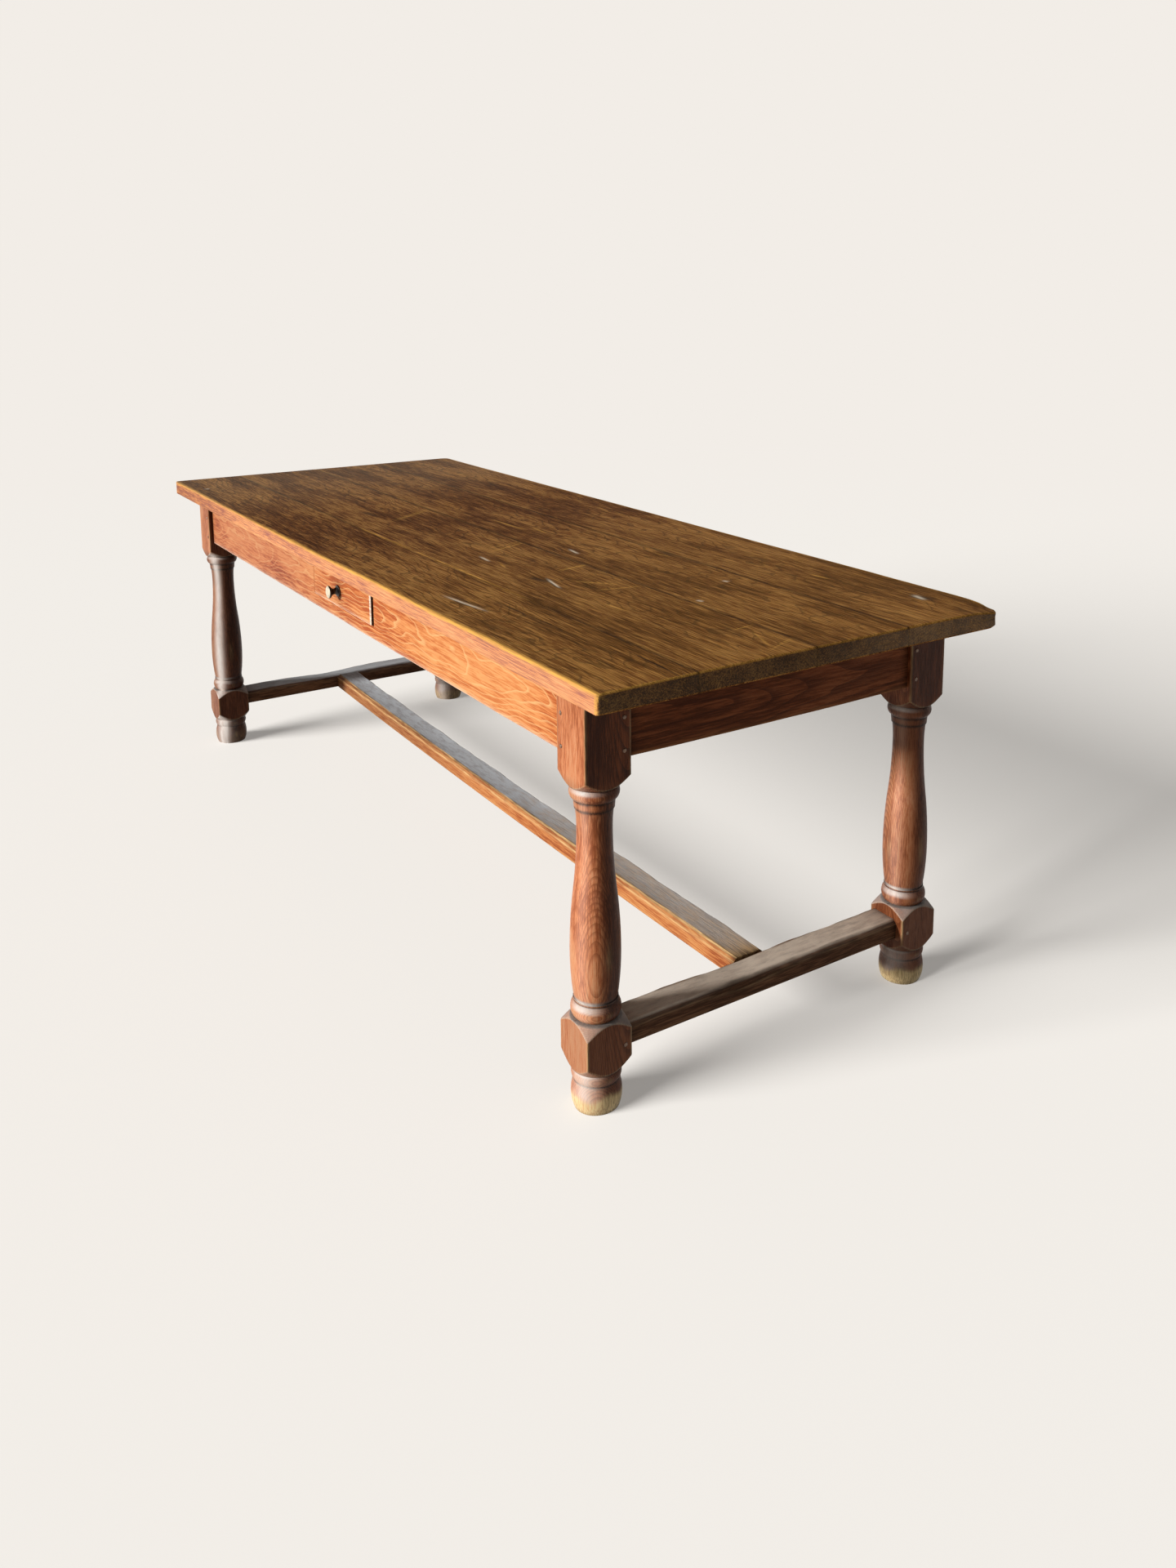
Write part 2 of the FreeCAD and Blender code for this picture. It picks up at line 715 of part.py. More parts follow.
def make_end_stretchers():
    """The two end stretchers, chamfered, tenoned into the legs and mortised for the centre stretcher."""
    width = s.end_stretcher_width
    middle_x = leg_face_x - end_stretcher_middle
    for name, end in (("left_end_stretcher", LEFT), ("right_end_stretcher", RIGHT)):
        body = new_body(name, (end * middle_x, ZERO, stretcher_bottom[end]))
        add_block(body, "rail", (ZERO, ZERO, s.stretcher_thickness / 2),
                  (width, end_apron_length, s.stretcher_thickness))
        cut_arris_along_y(body, "outer_arris", (end * width / 2, ZERO, s.stretcher_thickness),
                          end_apron_length + s.overrun, s.stretcher_chamfer)
        joint = s.centre_stretcher_width
        stop = (end_apron_length - joint) / 2
        for side_name, side in (("front", FRONT), ("back", BACK)):
            arris_middle = side * (joint + stop + s.overrun) / 2
            cut_arris_along_y(body, f"{side_name}_inner_arris",
                              (-end * width / 2, arris_middle, s.stretcher_thickness),
                              stop + s.overrun, s.stretcher_chamfer)
            tenon_y = end_apron_length / 2 + s.stretcher_tenon_length / 2
            add_block(body, f"{side_name}_tenon", (ZERO, side * tenon_y, stretcher_tenon_middle),
                      (s.stretcher_tenon_thickness, s.stretcher_tenon_length, stretcher_tenon_height))
            peg_y = end_apron_length / 2 + s.peg_edge_distance
            drill(body, f"{side_name}_peg_hole",
                  (-s.stretcher_tenon_thickness, side * peg_y, stretcher_tenon_middle), "+x",
                  peg_hole_radius, s.stretcher_tenon_thickness * 2)
        depth = s.centre_tenon_length + s.mortise_end_gap
        cut_block(body, "centre_mortise",
                  (-end * (width - depth + s.overrun) / 2, ZERO, s.stretcher_thickness / 2),
                  (depth + s.overrun, s.centre_tenon_width, s.centre_tenon_thickness))


def sagging_edge(start, end, sag):
    """The first corner of a long edge that hangs through by a sag between two corners."""
    half = (end.across - start.across) / 2
    lift = (half * half + sag * sag) / (sag * 2) - sag
    lean = (start.along - end.along) / (half * 2)
    start.centre = ((start.across + end.across) / 2 + lean * lift, (start.along + end.along) / 2 + lift)
    return start


def make_centre_stretcher():
    """The long stretcher, which slopes where the end stretchers differ in height, and sags."""
    half = leg_face_x - s.end_stretcher_recess - s.end_stretcher_width
    thick = s.stretcher_thickness
    body = new_body("centre_stretcher", (ZERO, ZERO, lower_block_bottom))
    lower_left = corner(-half, s.left_stretcher_rise)
    lower_right = corner(half, s.right_stretcher_rise)
    upper_right = corner(half, s.right_stretcher_rise + thick)
    upper_left = corner(-half, s.left_stretcher_rise + thick)
    outline = [
        sagging_edge(lower_left, lower_right, s.stretcher_sag),
        lower_right,
        sagging_edge(upper_right, upper_left, s.stretcher_sag),
        upper_left,
    ]
    pad = body.newObject("PartDesign::Pad", "centre_stretcher_rail")
    pad.Profile = draw_outline(body, "side_view", "XZ_Plane", outline)
    pad.SideType = "Symmetric"
    pad.setExpression("Length", s.centre_stretcher_width.text)
    rail_middle = (s.left_stretcher_rise + s.right_stretcher_rise + thick) / 2 - s.stretcher_sag
    chosen = edges_of(body, lambda point: abs(point.x) < half.value / 2 and point.z > rail_middle.value)
    chamfer = body.newObject("PartDesign::Chamfer", "centre_stretcher_arrises")
    chamfer.Base = chosen
    chamfer.setExpression("Size", s.stretcher_chamfer.text)
    rises = (("left", LEFT, s.left_stretcher_rise), ("right", RIGHT, s.right_stretcher_rise))
    for name, end, rise in rises:
        tenon_middle = end * (half + s.centre_tenon_length / 2)
        add_block(body, f"{name}_tenon", (tenon_middle, ZERO, rise + thick / 2),
                  (s.centre_tenon_length, s.centre_tenon_width, s.centre_tenon_thickness))


# Pegs

def make_pegs():
    """Every peg, in one group for the aprons and one for the stretchers."""
    members = {"apron": [], "stretcher": []}
    for end_name, end in (("left", LEFT), ("right", RIGHT)):
        for side_name, side in (("front", FRONT), ("back", BACK)):
            for peg in leg_pegs(end, side):
                name = f"{side_name}_{end_name}_{peg.name}"
                members[peg.kind].append(rod(name, peg.start, peg.direction, s.peg_radius, peg.length))
    group("apron_pegs", members["apron"])
    group("stretcher_pegs", members["stretcher"])


# Drawer

def tail_corners(root, height):
    """Four corners of one dovetail, from its lower root round its end to its upper root."""
    end = root - s.tail_length
    return [
        corner(root, height - s.tail_root_width / 2),
        corner(end, height - s.tail_end_width / 2),
        corner(end, height + s.tail_end_width / 2),
        corner(root, height + s.tail_root_width / 2),
    ]


def tail_heights():
    """Heights of the middles of the dovetails over a side's lower edge."""
    return s.lower_tail_height, drawer_side_height - s.upper_tail_drop


def make_drawer_sides():
    """The two sides, dovetailed into the front, grooved for the bottom and housed for the back."""
    groove_middle = s.drawer_bottom_rise + s.drawer_bottom_thickness / 2
    back_middle = drawer_end - s.drawer_back_inset - s.drawer_back_thickness / 2
    back_low = s.drawer_bottom_rise + s.drawer_bottom_thickness
    back_height = drawer_side_height - s.drawer_back_drop - back_low
    starts = {LEFT: drawer_left_end, RIGHT: drawer_right_end - s.drawer_side_thickness}
    for name, end in (("drawer_left_side", LEFT), ("drawer_right_side", RIGHT)):
        body = new_body(name, (starts[end], ZERO, drawer_bottom_edge))
        outline = [corner(drawer_end, ZERO), corner(drawer_front_inside, ZERO)]
        for height in tail_heights():
            outline += tail_corners(drawer_front_inside, height)
        outline.append(corner(drawer_front_inside, drawer_side_height))
        outline.append(corner(drawer_end, drawer_side_height))
        pad = body.newObject("PartDesign::Pad", f"{name}_board")
        pad.Profile = draw_outline(body, "outline", "YZ_Plane", outline)
        pad.setExpression("Length", s.drawer_side_thickness.text)
        depth = s.drawer_groove_depth + s.drawer_groove_end_gap
        inner = (s.drawer_side_thickness - end * (s.drawer_side_thickness - depth + s.overrun)) / 2
        tail_end = drawer_front_inside - s.tail_length
        cut_block(body, "groove", (inner, (drawer_end + tail_end) / 2, groove_middle),
                  (depth + s.overrun, drawer_end - tail_end + s.overrun, s.drawer_bottom_thickness))
        cut_block(body, "back_housing", (inner, back_middle, back_low + back_height / 2),
                  (depth + s.overrun, s.drawer_back_thickness, back_height))


def make_drawer_front():
    """The drawer's front, with sockets for the dovetails, a groove for the bottom and the knob's hole."""
    thickness = s.drawer_front_thickness
    body = new_body("drawer_front", (drawer_middle, -side_apron_face, drawer_bottom_edge))
    add_block(body, "board", (ZERO, thickness / 2, drawer_front_height / 2),
              (drawer_width, thickness, drawer_front_height))
    for end_name, end in (("left", LEFT), ("right", RIGHT)):
        for number, tail in enumerate(tail_heights()):
            cut_socket(body, f"{end_name}_socket_{number}", end, tail)
    depth = s.drawer_groove_depth + s.drawer_groove_end_gap
    groove_middle = s.drawer_bottom_rise + s.drawer_bottom_thickness / 2
    cut_block(body, "groove", (ZERO, thickness - (depth - s.overrun) / 2, groove_middle),
              (drawer_inner_width + depth * 2, depth + s.overrun, s.drawer_bottom_thickness))
    drill(body, "knob_hole", (-drawer_middle, -s.overrun, s.knob_height), "+y",
          s.knob_dowel_radius + s.peg_clearance, thickness + s.overrun * 2)


def cut_socket(body, name, end, height):
    """Cut the socket of one dovetail into the drawer front, in from its end."""
    root = s.drawer_front_thickness
    narrow = s.tail_root_width / 2
    wide = s.tail_end_width / 2
    flare = (wide - narrow) / s.tail_length * s.overrun
    corners = tail_corners(root, height)
    corners[0] = corner(root + s.overrun, height - narrow + flare)
    corners[-1] = corner(root + s.overrun, height + narrow - flare)
    sketch = draw_outline(body, f"{name}_outline", "YZ_Plane", corners)
    inner = drawer_width / 2 - s.drawer_side_thickness
    sketch.setExpression(".AttachmentOffset.Base.z", (end * inner).text)
    pocket = body.newObject("PartDesign::Pocket", f"{body.Name}_{name}")
    pocket.Profile = sketch
    pocket.setExpression("Length", (s.drawer_side_thickness + s.overrun).text)
    pocket.Reversed = end == RIGHT


def make_drawer_back_and_bottom():
    """The back, housed in the sides, and the bottom, which slides in grooves under the back."""
    low = s.drawer_bottom_rise + s.drawer_bottom_thickness
    height = drawer_side_height - s.drawer_back_drop - low
    width = drawer_inner_width + s.drawer_groove_depth * 2
    back_middle = drawer_end - s.drawer_back_inset - s.drawer_back_thickness / 2
    back = new_body("drawer_back", (drawer_middle, back_middle, drawer_bottom_edge))
    add_block(back, "board", (ZERO, ZERO, low + height / 2), (width, s.drawer_back_thickness, height))
    front_edge = drawer_front_inside - s.drawer_groove_depth
    bottom = new_body("drawer_bottom", (drawer_middle, (front_edge + drawer_end) / 2, drawer_bottom_edge))
    add_block(bottom, "board", (ZERO, ZERO, low - s.drawer_bottom_thickness / 2),
              (width, drawer_end - front_edge, s.drawer_bottom_thickness))


def make_knob():
    """A turned spool knob, its dowel glued through the drawer's front."""
    body = new_body("drawer_knob", (ZERO, -side_apron_face, drawer_bottom_edge + s.knob_height))
    head = -s.knob_head_distance
    rim = head - s.knob_rim_thickness
    base = -s.knob_base_thickness
    waist = -s.knob_waist_distance

    def hollow(radius, rise):
        """Centre of the arc that leaves the waist upright and opens to a radius."""
        side = radius - s.knob_waist_radius
        return s.knob_waist_radius + (side * side + rise * rise) / (side * 2), waist

    dome_rise = s.knob_length + rim
    dome_radius = (s.knob_head_radius * s.knob_head_radius + dome_rise * dome_rise) / (dome_rise * 2)
    dome = corner(s.knob_head_radius, rim, (ZERO, dome_radius - s.knob_length))
    outline = [
        corner(ZERO, s.drawer_front_thickness),
        corner(s.knob_dowel_radius, s.drawer_front_thickness),
        corner(s.knob_dowel_radius, ZERO),
        corner(s.knob_base_radius, ZERO),
        corner(s.knob_base_radius, base, hollow(s.knob_base_radius, base - waist)),
        corner(s.knob_waist_radius, waist, hollow(s.knob_head_radius, waist - head)),
        corner(s.knob_head_radius, head),
        dome,
        corner(ZERO, -s.knob_length),
    ]
    turning = body.newObject("PartDesign::Revolution", "drawer_knob_turning")
    turning.Profile = draw_outline(body, "profile", "XY_Plane", outline)
    turning.ReferenceAxis = (turning.Profile[0], ["V_Axis"])
    turning.Angle = 360


# What carries the drawer and holds the top

def make_runners():
    """A runner and a guide at each end of the drawer, and the two stops behind it."""
    length = side_apron_inside * 2
    stops = []
    for name, end in (("left", LEFT), ("right", RIGHT)):
        middle = runner_middle[end]
        runner = new_body(f"{name}_drawer_runner", (middle, ZERO, runner_tenon_middle))
        add_block(runner, "rail", (ZERO, ZERO, ZERO), (runner_width, length, s.runner_height))
        add_block(runner, "tenons", (ZERO, ZERO, ZERO),
                  (runner_width, length + s.runner_tenon_length * 2, s.runner_tenon_thickness))
        outer = middle + end * (runner_width - s.guide_width) / 2
        guide = new_body(f"{name}_drawer_guide", (outer, ZERO, runner_top))
        add_block(guide, "strip", (ZERO, ZERO, s.guide_height / 2), (s.guide_width, length, s.guide_height))
        stop = doc.addObject("Part::Box", f"{name}_drawer_stop")
        stop.setExpression("Length", s.runner_bearing_width.text)
        stop.setExpression("Width", s.stop_length.text)
        stop.setExpression("Height", s.stop_height.text)
        bearing = middle - end * (runner_width - s.runner_bearing_width) / 2
        place(stop, (bearing - s.runner_bearing_width / 2, drawer_end + s.stop_gap, runner_top))
        stops.append(stop)
    group("drawer_stops", stops)


def make_bearers():
    """Two battens under the top, housed in the aprons, and the screws that hold the boards to them."""
    length = (side_apron_inside + s.bearer_housing_depth) * 2
    low = leg_length - s.bearer_height
    screws = []
    for name, end in (("left", LEFT), ("right", RIGHT)):
        body = new_body(f"{name}_top_bearer", (end * s.bearer_offset, ZERO, low))
        add_block(body, "batten", (ZERO, ZERO, s.bearer_height / 2),
                  (s.bearer_width, length, s.bearer_height))
        for number, along in enumerate(screw_places()):
            drill(body, f"head_hole_{number}", (ZERO, along, -s.overrun), "+z",
                  s.screw_head_radius + s.screw_clearance, s.screw_head_depth + s.overrun)
            drill(body, f"shank_hole_{number}", (ZERO, along, ZERO), "+z",
                  s.screw_shank_radius + s.screw_clearance, s.bearer_height + s.overrun)
            base = (end * s.bearer_offset, along, low + s.screw_head_depth - s.screw_head_height)
            head = rod(f"{name}_screw_head_{number}", base, "+z", s.screw_head_radius, s.screw_head_height)
            shank_length = s.bearer_height - s.screw_head_depth + s.screw_head_height + s.screw_bite
            shank = rod(f"{name}_screw_shank_{number}", base, "+z", s.screw_shank_radius, shank_length)
            screw = doc.addObject("Part::Fuse", f"{name}_screw_{number}")
            screw.Base = head
            screw.Tool = shank
            screws.append(screw)
    group("bearer_screws", screws)


def check_and_write():
    """Stop if anything failed to build, and otherwise write each piece to its own file."""
    for item in doc.Objects:
        if "Invalid" in item.State or "Error" in item.State:
            raise RuntimeError(f"{item.Label} failed: {item.State}")
    for piece in pieces:
        if piece.Shape.isNull() or not piece.Shape.isValid():
            raise RuntimeError(f"{piece.Label} has no valid shape")
    os.makedirs("parts", exist_ok=True)
    for piece in pieces:
        piece.Shape.exportStep(os.path.join("parts", f"{piece.Label}.step"))
        print(piece.Label, len(piece.Shape.Solids), "solids, volume", round(piece.Shape.Volume))


make_top()
make_legs()
make_side_aprons()
make_end_aprons()
make_end_stretchers()
make_centre_stretcher()
make_pegs()
make_drawer_front()
make_drawer_sides()
make_drawer_back_and_bottom()
make_knob()
make_runners()
make_bearers()
doc.recompute()
check_and_write()
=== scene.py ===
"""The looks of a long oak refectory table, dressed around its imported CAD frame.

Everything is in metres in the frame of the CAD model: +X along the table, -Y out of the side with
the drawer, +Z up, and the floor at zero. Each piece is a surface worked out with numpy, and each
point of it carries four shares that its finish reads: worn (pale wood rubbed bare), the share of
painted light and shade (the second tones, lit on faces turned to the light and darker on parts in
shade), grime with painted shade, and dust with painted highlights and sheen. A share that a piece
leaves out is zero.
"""

import logging
import math
from dataclasses import dataclass, replace
from enum import Enum

import bmesh
import bpy
import numpy as np
from mathutils import Matrix, Vector


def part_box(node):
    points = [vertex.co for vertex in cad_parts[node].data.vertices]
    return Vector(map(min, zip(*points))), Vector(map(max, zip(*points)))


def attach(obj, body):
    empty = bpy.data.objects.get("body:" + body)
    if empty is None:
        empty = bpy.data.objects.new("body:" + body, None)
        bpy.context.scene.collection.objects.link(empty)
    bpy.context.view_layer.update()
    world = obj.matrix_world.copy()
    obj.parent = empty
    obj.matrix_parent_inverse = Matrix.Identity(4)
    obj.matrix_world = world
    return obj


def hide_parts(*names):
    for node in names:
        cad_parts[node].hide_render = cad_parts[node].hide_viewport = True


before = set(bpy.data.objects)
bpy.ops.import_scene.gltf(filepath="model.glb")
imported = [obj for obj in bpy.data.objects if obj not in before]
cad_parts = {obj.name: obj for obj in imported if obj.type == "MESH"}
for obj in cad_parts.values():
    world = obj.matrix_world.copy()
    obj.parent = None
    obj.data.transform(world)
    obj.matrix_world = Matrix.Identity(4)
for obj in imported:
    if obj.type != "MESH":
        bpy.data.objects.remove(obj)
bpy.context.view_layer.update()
LOG = logging.getLogger("refectory_table")
MM = 0.001
ARC_STEPS = 4
LEAST_ARRIS = 0.2 * MM
# Ease and cap of a rail's end, which meets a leg.
LEG_END = (0.3 * MM, 0.6 * MM)
# The second share is painted light and shade, the third grime and painted shade, the fourth dust and painted
# highlights and sheen.
SHARES = ("worn", "light_and_shade", "grime_and_shade", "dust_and_sheen")
Array = np.ndarray
Shares = dict[str, Array]
Pair = tuple[float, float]
Point = tuple[float, float, float]
Tree = bpy.types.NodeTree
Socket = bpy.types.NodeSocket
Material = bpy.types.Material
Object = bpy.types.Object


def linear(code: str) -> tuple[float, float, float, float]:
    """Turns an sRGB hex colour into the linear colour that a shader takes.

    Args:
        code: Six hex digits.

    Returns:
        Red, green, blue and an alpha of one.
    """
    parts = np.array([int(code[i : i + 2], 16) for i in (0, 2, 4)]) / 255
    low = parts / 12.92
    high = ((parts + 0.055) / 1.055) ** 2.4
    red, green, blue = np.where(parts <= 0.04045, low, high)
    return (float(red), float(green), float(blue), 1.0)


def add(
    tree: Tree, kind: str, inputs: dict | None = None, out: str | int = 0, **settings: object
) -> Socket | None:
    """Adds a node with its settings, and sets or links its inputs.

    Args:
        tree: The node tree that gets the node.
        kind: Blender's name for the node, without the ShaderNode that it starts with.
        inputs: For a socket's name or number, a value or the output socket to link.
        out: Name or number of the output that is wanted.
        **settings: Properties of the node.

    Returns:
        That output's socket, or None from a node without outputs.
    """
    node = tree.nodes.new("ShaderNode" + kind)
    for name, value in settings.items():
        setattr(node, name, value)
    for key, value in (inputs or {}).items():
        if isinstance(value, Socket):
            tree.links.new(value, node.inputs[key])
        else:
            node.inputs[key].default_value = value
    return node.outputs[out] if node.outputs else None


def empty_material(name: str) -> tuple[Material, Tree]:
    """A new material with no nodes in it, and its node tree."""
    material = bpy.data.materials.new(name)
    material.use_nodes = True
    material.node_tree.nodes.clear()
    return material, material.node_tree


def ripple(along: Array, seed: float, longest: float = 0.9) -> Array:
    """A smooth wander between about -1 and 1.

    Formula: four sine waves added up. Each is 1.9 times shorter and 1.5 times lower than the one
    before, and the seed spreads where they start.

    Args:
        along: Places in metres.
        seed: Any number.
        longest: Length of the longest wave.

    Returns:
        The wander at each place.
    """
    total = np.zeros_like(along)
    for step in range(4):
        wave = 2 * np.pi * along * 1.9**step / longest
        total += np.sin(wave + seed * (3.1 + 2.3 * step)) / 1.5**step
    return total / 2.4


def smooth(value: Array, low: float, high: float) -> Array:
    """An even rise from 0 at low to 1 at high, flat at both ends."""
    share = np.clip((value - low) / (high - low), 0, 1)
    return share * share * (3 - 2 * share)


class Grain(Enum):
    """Which way the grain of a piece runs."""

    X = "along the table"
    Y = "across the table"
    Z = "upright"

    def turn(self) -> Matrix:
        """The rotation that lays the grain along the third axis of the pattern."""
        rows = {
            Grain.X: ((0, 1, 0), (0, 0, 1), (1, 0, 0)),
            Grain.Y: ((0, 0, 1), (1, 0, 0), (0, 1, 0)),
            Grain.Z: ((1, 0, 0), (0, 1, 0), (0, 0, 1)),
        }
        return Matrix(rows[self])

    def lay(self, places: Array, section: Array) -> Array:
        """Stands sections up along the grain.

        Formula: along X a section's two numbers become y and z, and along Y they become x and z.

        Args:
            places: One place for each station.
            section: Stations by points by two.

        Returns:
            Stations by points by three.
        """
        along = np.broadcast_to(places[:, None], section.shape[:2])
        order = {Grain.X: (along, section[..., 0]), Grain.Y: (section[..., 0], along)}
        return np.stack([*order[self], section[..., 1]], -1)


@dataclass(frozen=True)
class OakTones:
    """Three streak tones and the tone of the ring lines, as sRGB hex colours."""

    deep: str
    body: str
    pale: str
    line: str


@dataclass(frozen=True)
class OakFinish:
    """Oak, sawn and planed or turned, then stained, waxed and worn by use.

    The eye sees ring lines that arch where the saw cut them flat, streaks of open pores along the
    grain, patches where the stain took more or less, pale wood where edges were rubbed bare, grime
    and painted shade in corners and under things, and dust on what lies flat with painted highlights
    and sheen. The lit tones are painted light and shade: a second set of tones, lit on faces turned
    to the light and darker on parts in shade. Real pores are about 0.3 mm wide, too fine to show, so
    the streaks are drawn some 3 mm wide.
    """

    name: str
    tones: OakTones
    lit: OakTones
    worn: str = "c98b45"
    grime_and_shade: str = "1b120c"
    dust_and_sheen: str = "8d867c"
    ring_mm: float = 3.0
    line_share: float = 0.5
    line_width: float = 0.6
    streak_mm: float = 3.0
    streak_reach: float = 16.0
    band_mm: float = 14.0
    band_share: float = 0.35
    patch_mm: float = 110.0
    patch_share: float = 0.3
    patch_squash: float = 0.28
    wander_mm: float = 26.0
    wander_wave_mm: float = 75.0
    figure: float = 0.16
    curl: float = 0.3
    speck_mm: float = 20.0
    laid_low: float = 0.45
    taper: float = 0.03
    roughness: float = 0.45
    specular: float = 0.05
    bump: float = 0.35

    def material(self, piece: str, heart: Point, grain: Grain) -> Material:
        """Makes the finish for one piece.

        Rings: the distance from the heart of the tree, shifted by slow noise and drifting along
        the grain, divided by the ring width. Its fraction draws one line for each ring.

        Args:
            piece: Name of the piece, which ends the material's name.
            heart: A point on the heart of the tree that the piece was sawn from.
            grain: The way the grain runs.

        Returns:
            The material.
        """
        material, tree = empty_material(f"{self.name}.{piece}")
        turn = grain.turn()
        spot = add(tree, "TexCoord", out="Object")
        turned = {"Vector": spot, "Location": -(turn @ Vector(heart)), "Rotation": turn.to_euler()}
        wood = add(tree, "Mapping", turned)
        line = self._ring_lines(tree, wood)
        clouds = self._clouds(tree, wood)
        streak = clouds["streak"]
        tone = streak
        for share, name in ((self.band_share, "band"), (self.patch_share, "patch")):
            tone = add(tree, "Mix", {0: share, 2: tone, 3: clouds[name]}, data_type="FLOAT")
        shares = {name: add(tree, "Attribute", out="Fac", attribute_name=name) for name in SHARES}
        breakups = {
            "worn": {0: streak, 3: 0.5, 4: 1.15},
            "grime_and_shade": {0: streak, 3: 1.1, 4: 0.8},
            "dust_and_sheen": {0: clouds["speck"], 1: 0.36, 2: 0.6, 3: self.laid_low, 4: 1.1},
        }
        # The lit tones, mixed in by the second share, are painted light and shade.
        layers = [(shares["light_and_shade"], self._tinted(tree, tone, line, self.lit))]
        for name, breakup in breakups.items():
            broken = {0: shares[name], 1: add(tree, "MapRange", breakup)}
            cover = add(tree, "Math", broken, operation="MULTIPLY", use_clamp=True)
            layers.append((cover, linear(getattr(self, name))))
        colour = self._tinted(tree, tone, line, self.tones)
        for cover, coat in layers:
            colour = add(tree, "Mix", {0: cover, 6: colour, 7: coat}, 2, data_type="RGBA")
        matt = add(tree, "MapRange", {0: tone, 3: self.roughness + 0.09, 4: self.roughness - 0.06})
        dusty = {0: layers[-1][0], 1: 0.35, 2: matt}
        matt = add(tree, "Math", dusty, operation="MULTIPLY_ADD", use_clamp=True)
        height = add(tree, "Math", {0: line, 1: -0.5, 2: streak}, operation="MULTIPLY_ADD")
        relief = add(tree, "Bump", {"Height": height, "Strength": self.bump, "Distance": 0.5 * MM})
        look = {"Base Color": colour, "Roughness": matt, "Normal": relief, "IOR": 1.5}
        shader = add(tree, "BsdfPrincipled", {**look, "Specular IOR Level": self.specular})
        add(tree, "OutputMaterial", {"Surface": shader})
        return material

    def _clouds(self, tree: Tree, wood: Socket) -> dict[str, Socket]:
        """The noises of the wood: streaks, bands, stained patches and specks.

        Args:
            tree: The material's node tree.
            wood: Coordinates with the heart along the third axis.

        Returns:
            For each name a socket, all but the specks spread evenly between 0 and 1.
        """
        drawn_out = add(tree, "Mapping", {"Vector": wood, "Scale": (1, 1, 1 / self.streak_reach)})
        tall = add(tree, "Mapping", {"Vector": wood, "Scale": (1, 1, self.patch_squash)})
        noises = {
            "streak": (drawn_out, self.streak_mm, 4.0, 0.65, self.curl),
            "band": (drawn_out, self.band_mm, 4.0, 0.55, 2 * self.curl),
            "patch": (tall, self.patch_mm, 5.0, 0.6, 0.0),
            "speck": (tall, self.speck_mm, 6.0, 0.7, 0.0),
        }
        clouds = {}
        for name, (spot, size, detail, rough, bend) in noises.items():
            waves = {"Scale": 1 / (size * MM), "Detail": detail, "Roughness": rough, "Distortion": bend}
            clouds[name] = add(tree, "TexNoise", {"Vector": spot, **waves})
        for name, low, high in (("streak", 0.38, 0.63), ("band", 0.36, 0.64), ("patch", 0.38, 0.62)):
            spread = {0: clouds[name], 1: low, 2: high}
            clouds[name] = add(tree, "MapRange", spread, interpolation_type="SMOOTHSTEP")
        return clouds

    def _ring_lines(self, tree: Tree, wood: Socket) -> Socket:
        """The share of ring line at each point, from the heart's distance.

        Args:
            tree: The material's node tree.
            wood: Coordinates with the heart along the third axis.

        Returns:
            A socket that is 1 on a line and falls to 0 before the next.
        """
        slow = add(tree, "Mapping", {"Vector": wood, "Scale": (1, 1, self.figure)})
        waves = {"Scale": 1 / (self.wander_wave_mm * MM), "Detail": 2.5, "Roughness": 0.45}
        wander = add(tree, "TexNoise", {"Vector": slow, **waves}, "Color")
        centred = add(tree, "VectorMath", {0: wander, 1: (0.5, 0.5, 0.5)}, operation="SUBTRACT")
        reach = self.wander_mm * MM
        shift = {0: centred, 1: (reach, reach, 0), 2: wood}
        moved = add(tree, "VectorMath", shift, operation="MULTIPLY_ADD")
        across = add(tree, "VectorMath", {0: moved, 1: (1, 1, 0)}, operation="MULTIPLY")
        radius = add(tree, "VectorMath", {0: across}, "Value", operation="LENGTH")
        along = add(tree, "SeparateXYZ", {0: wood}, "Z")
        drift = add(tree, "Math", {0: along, 1: self.taper, 2: radius}, operation="MULTIPLY_ADD")
        rings = add(tree, "Math", {0: drift, 1: self.ring_mm * MM}, operation="DIVIDE")
        part = add(tree, "Math", {0: rings}, operation="FRACT")
        fall = {0: part, 1: 0.0, 2: self.line_width, 3: 1.0, 4: 0.0}
        return add(tree, "MapRange", fall, interpolation_type="SMOOTHSTEP")

    def _tinted(self, tree: Tree, tone: Socket, line: Socket, tones: OakTones) -> Socket:
        """The wood's colour in one set of tones.

        Args:
            tree: The material's node tree.
            tone: From 0 in the darkest streak to 1 in the palest.
            line: The share of ring line.
            tones: The colours.

        Returns:
            The colour's socket.
        """
        first = add(tree, "MapRange", {0: tone, 1: 0.2, 2: 0.5})
        second = add(tree, "MapRange", {0: tone, 1: 0.5, 2: 0.8})
        lined = add(tree, "Math", {0: line, 1: self.line_share}, operation="MULTIPLY")
        colour = linear(tones.deep)
        for cover, code in ((first, tones.body), (second, tones.pale), (lined, tones.line)):
            colour = add(tree, "Mix", {0: cover, 6: colour, 7: linear(code)}, 2, data_type="RGBA")
        return colour


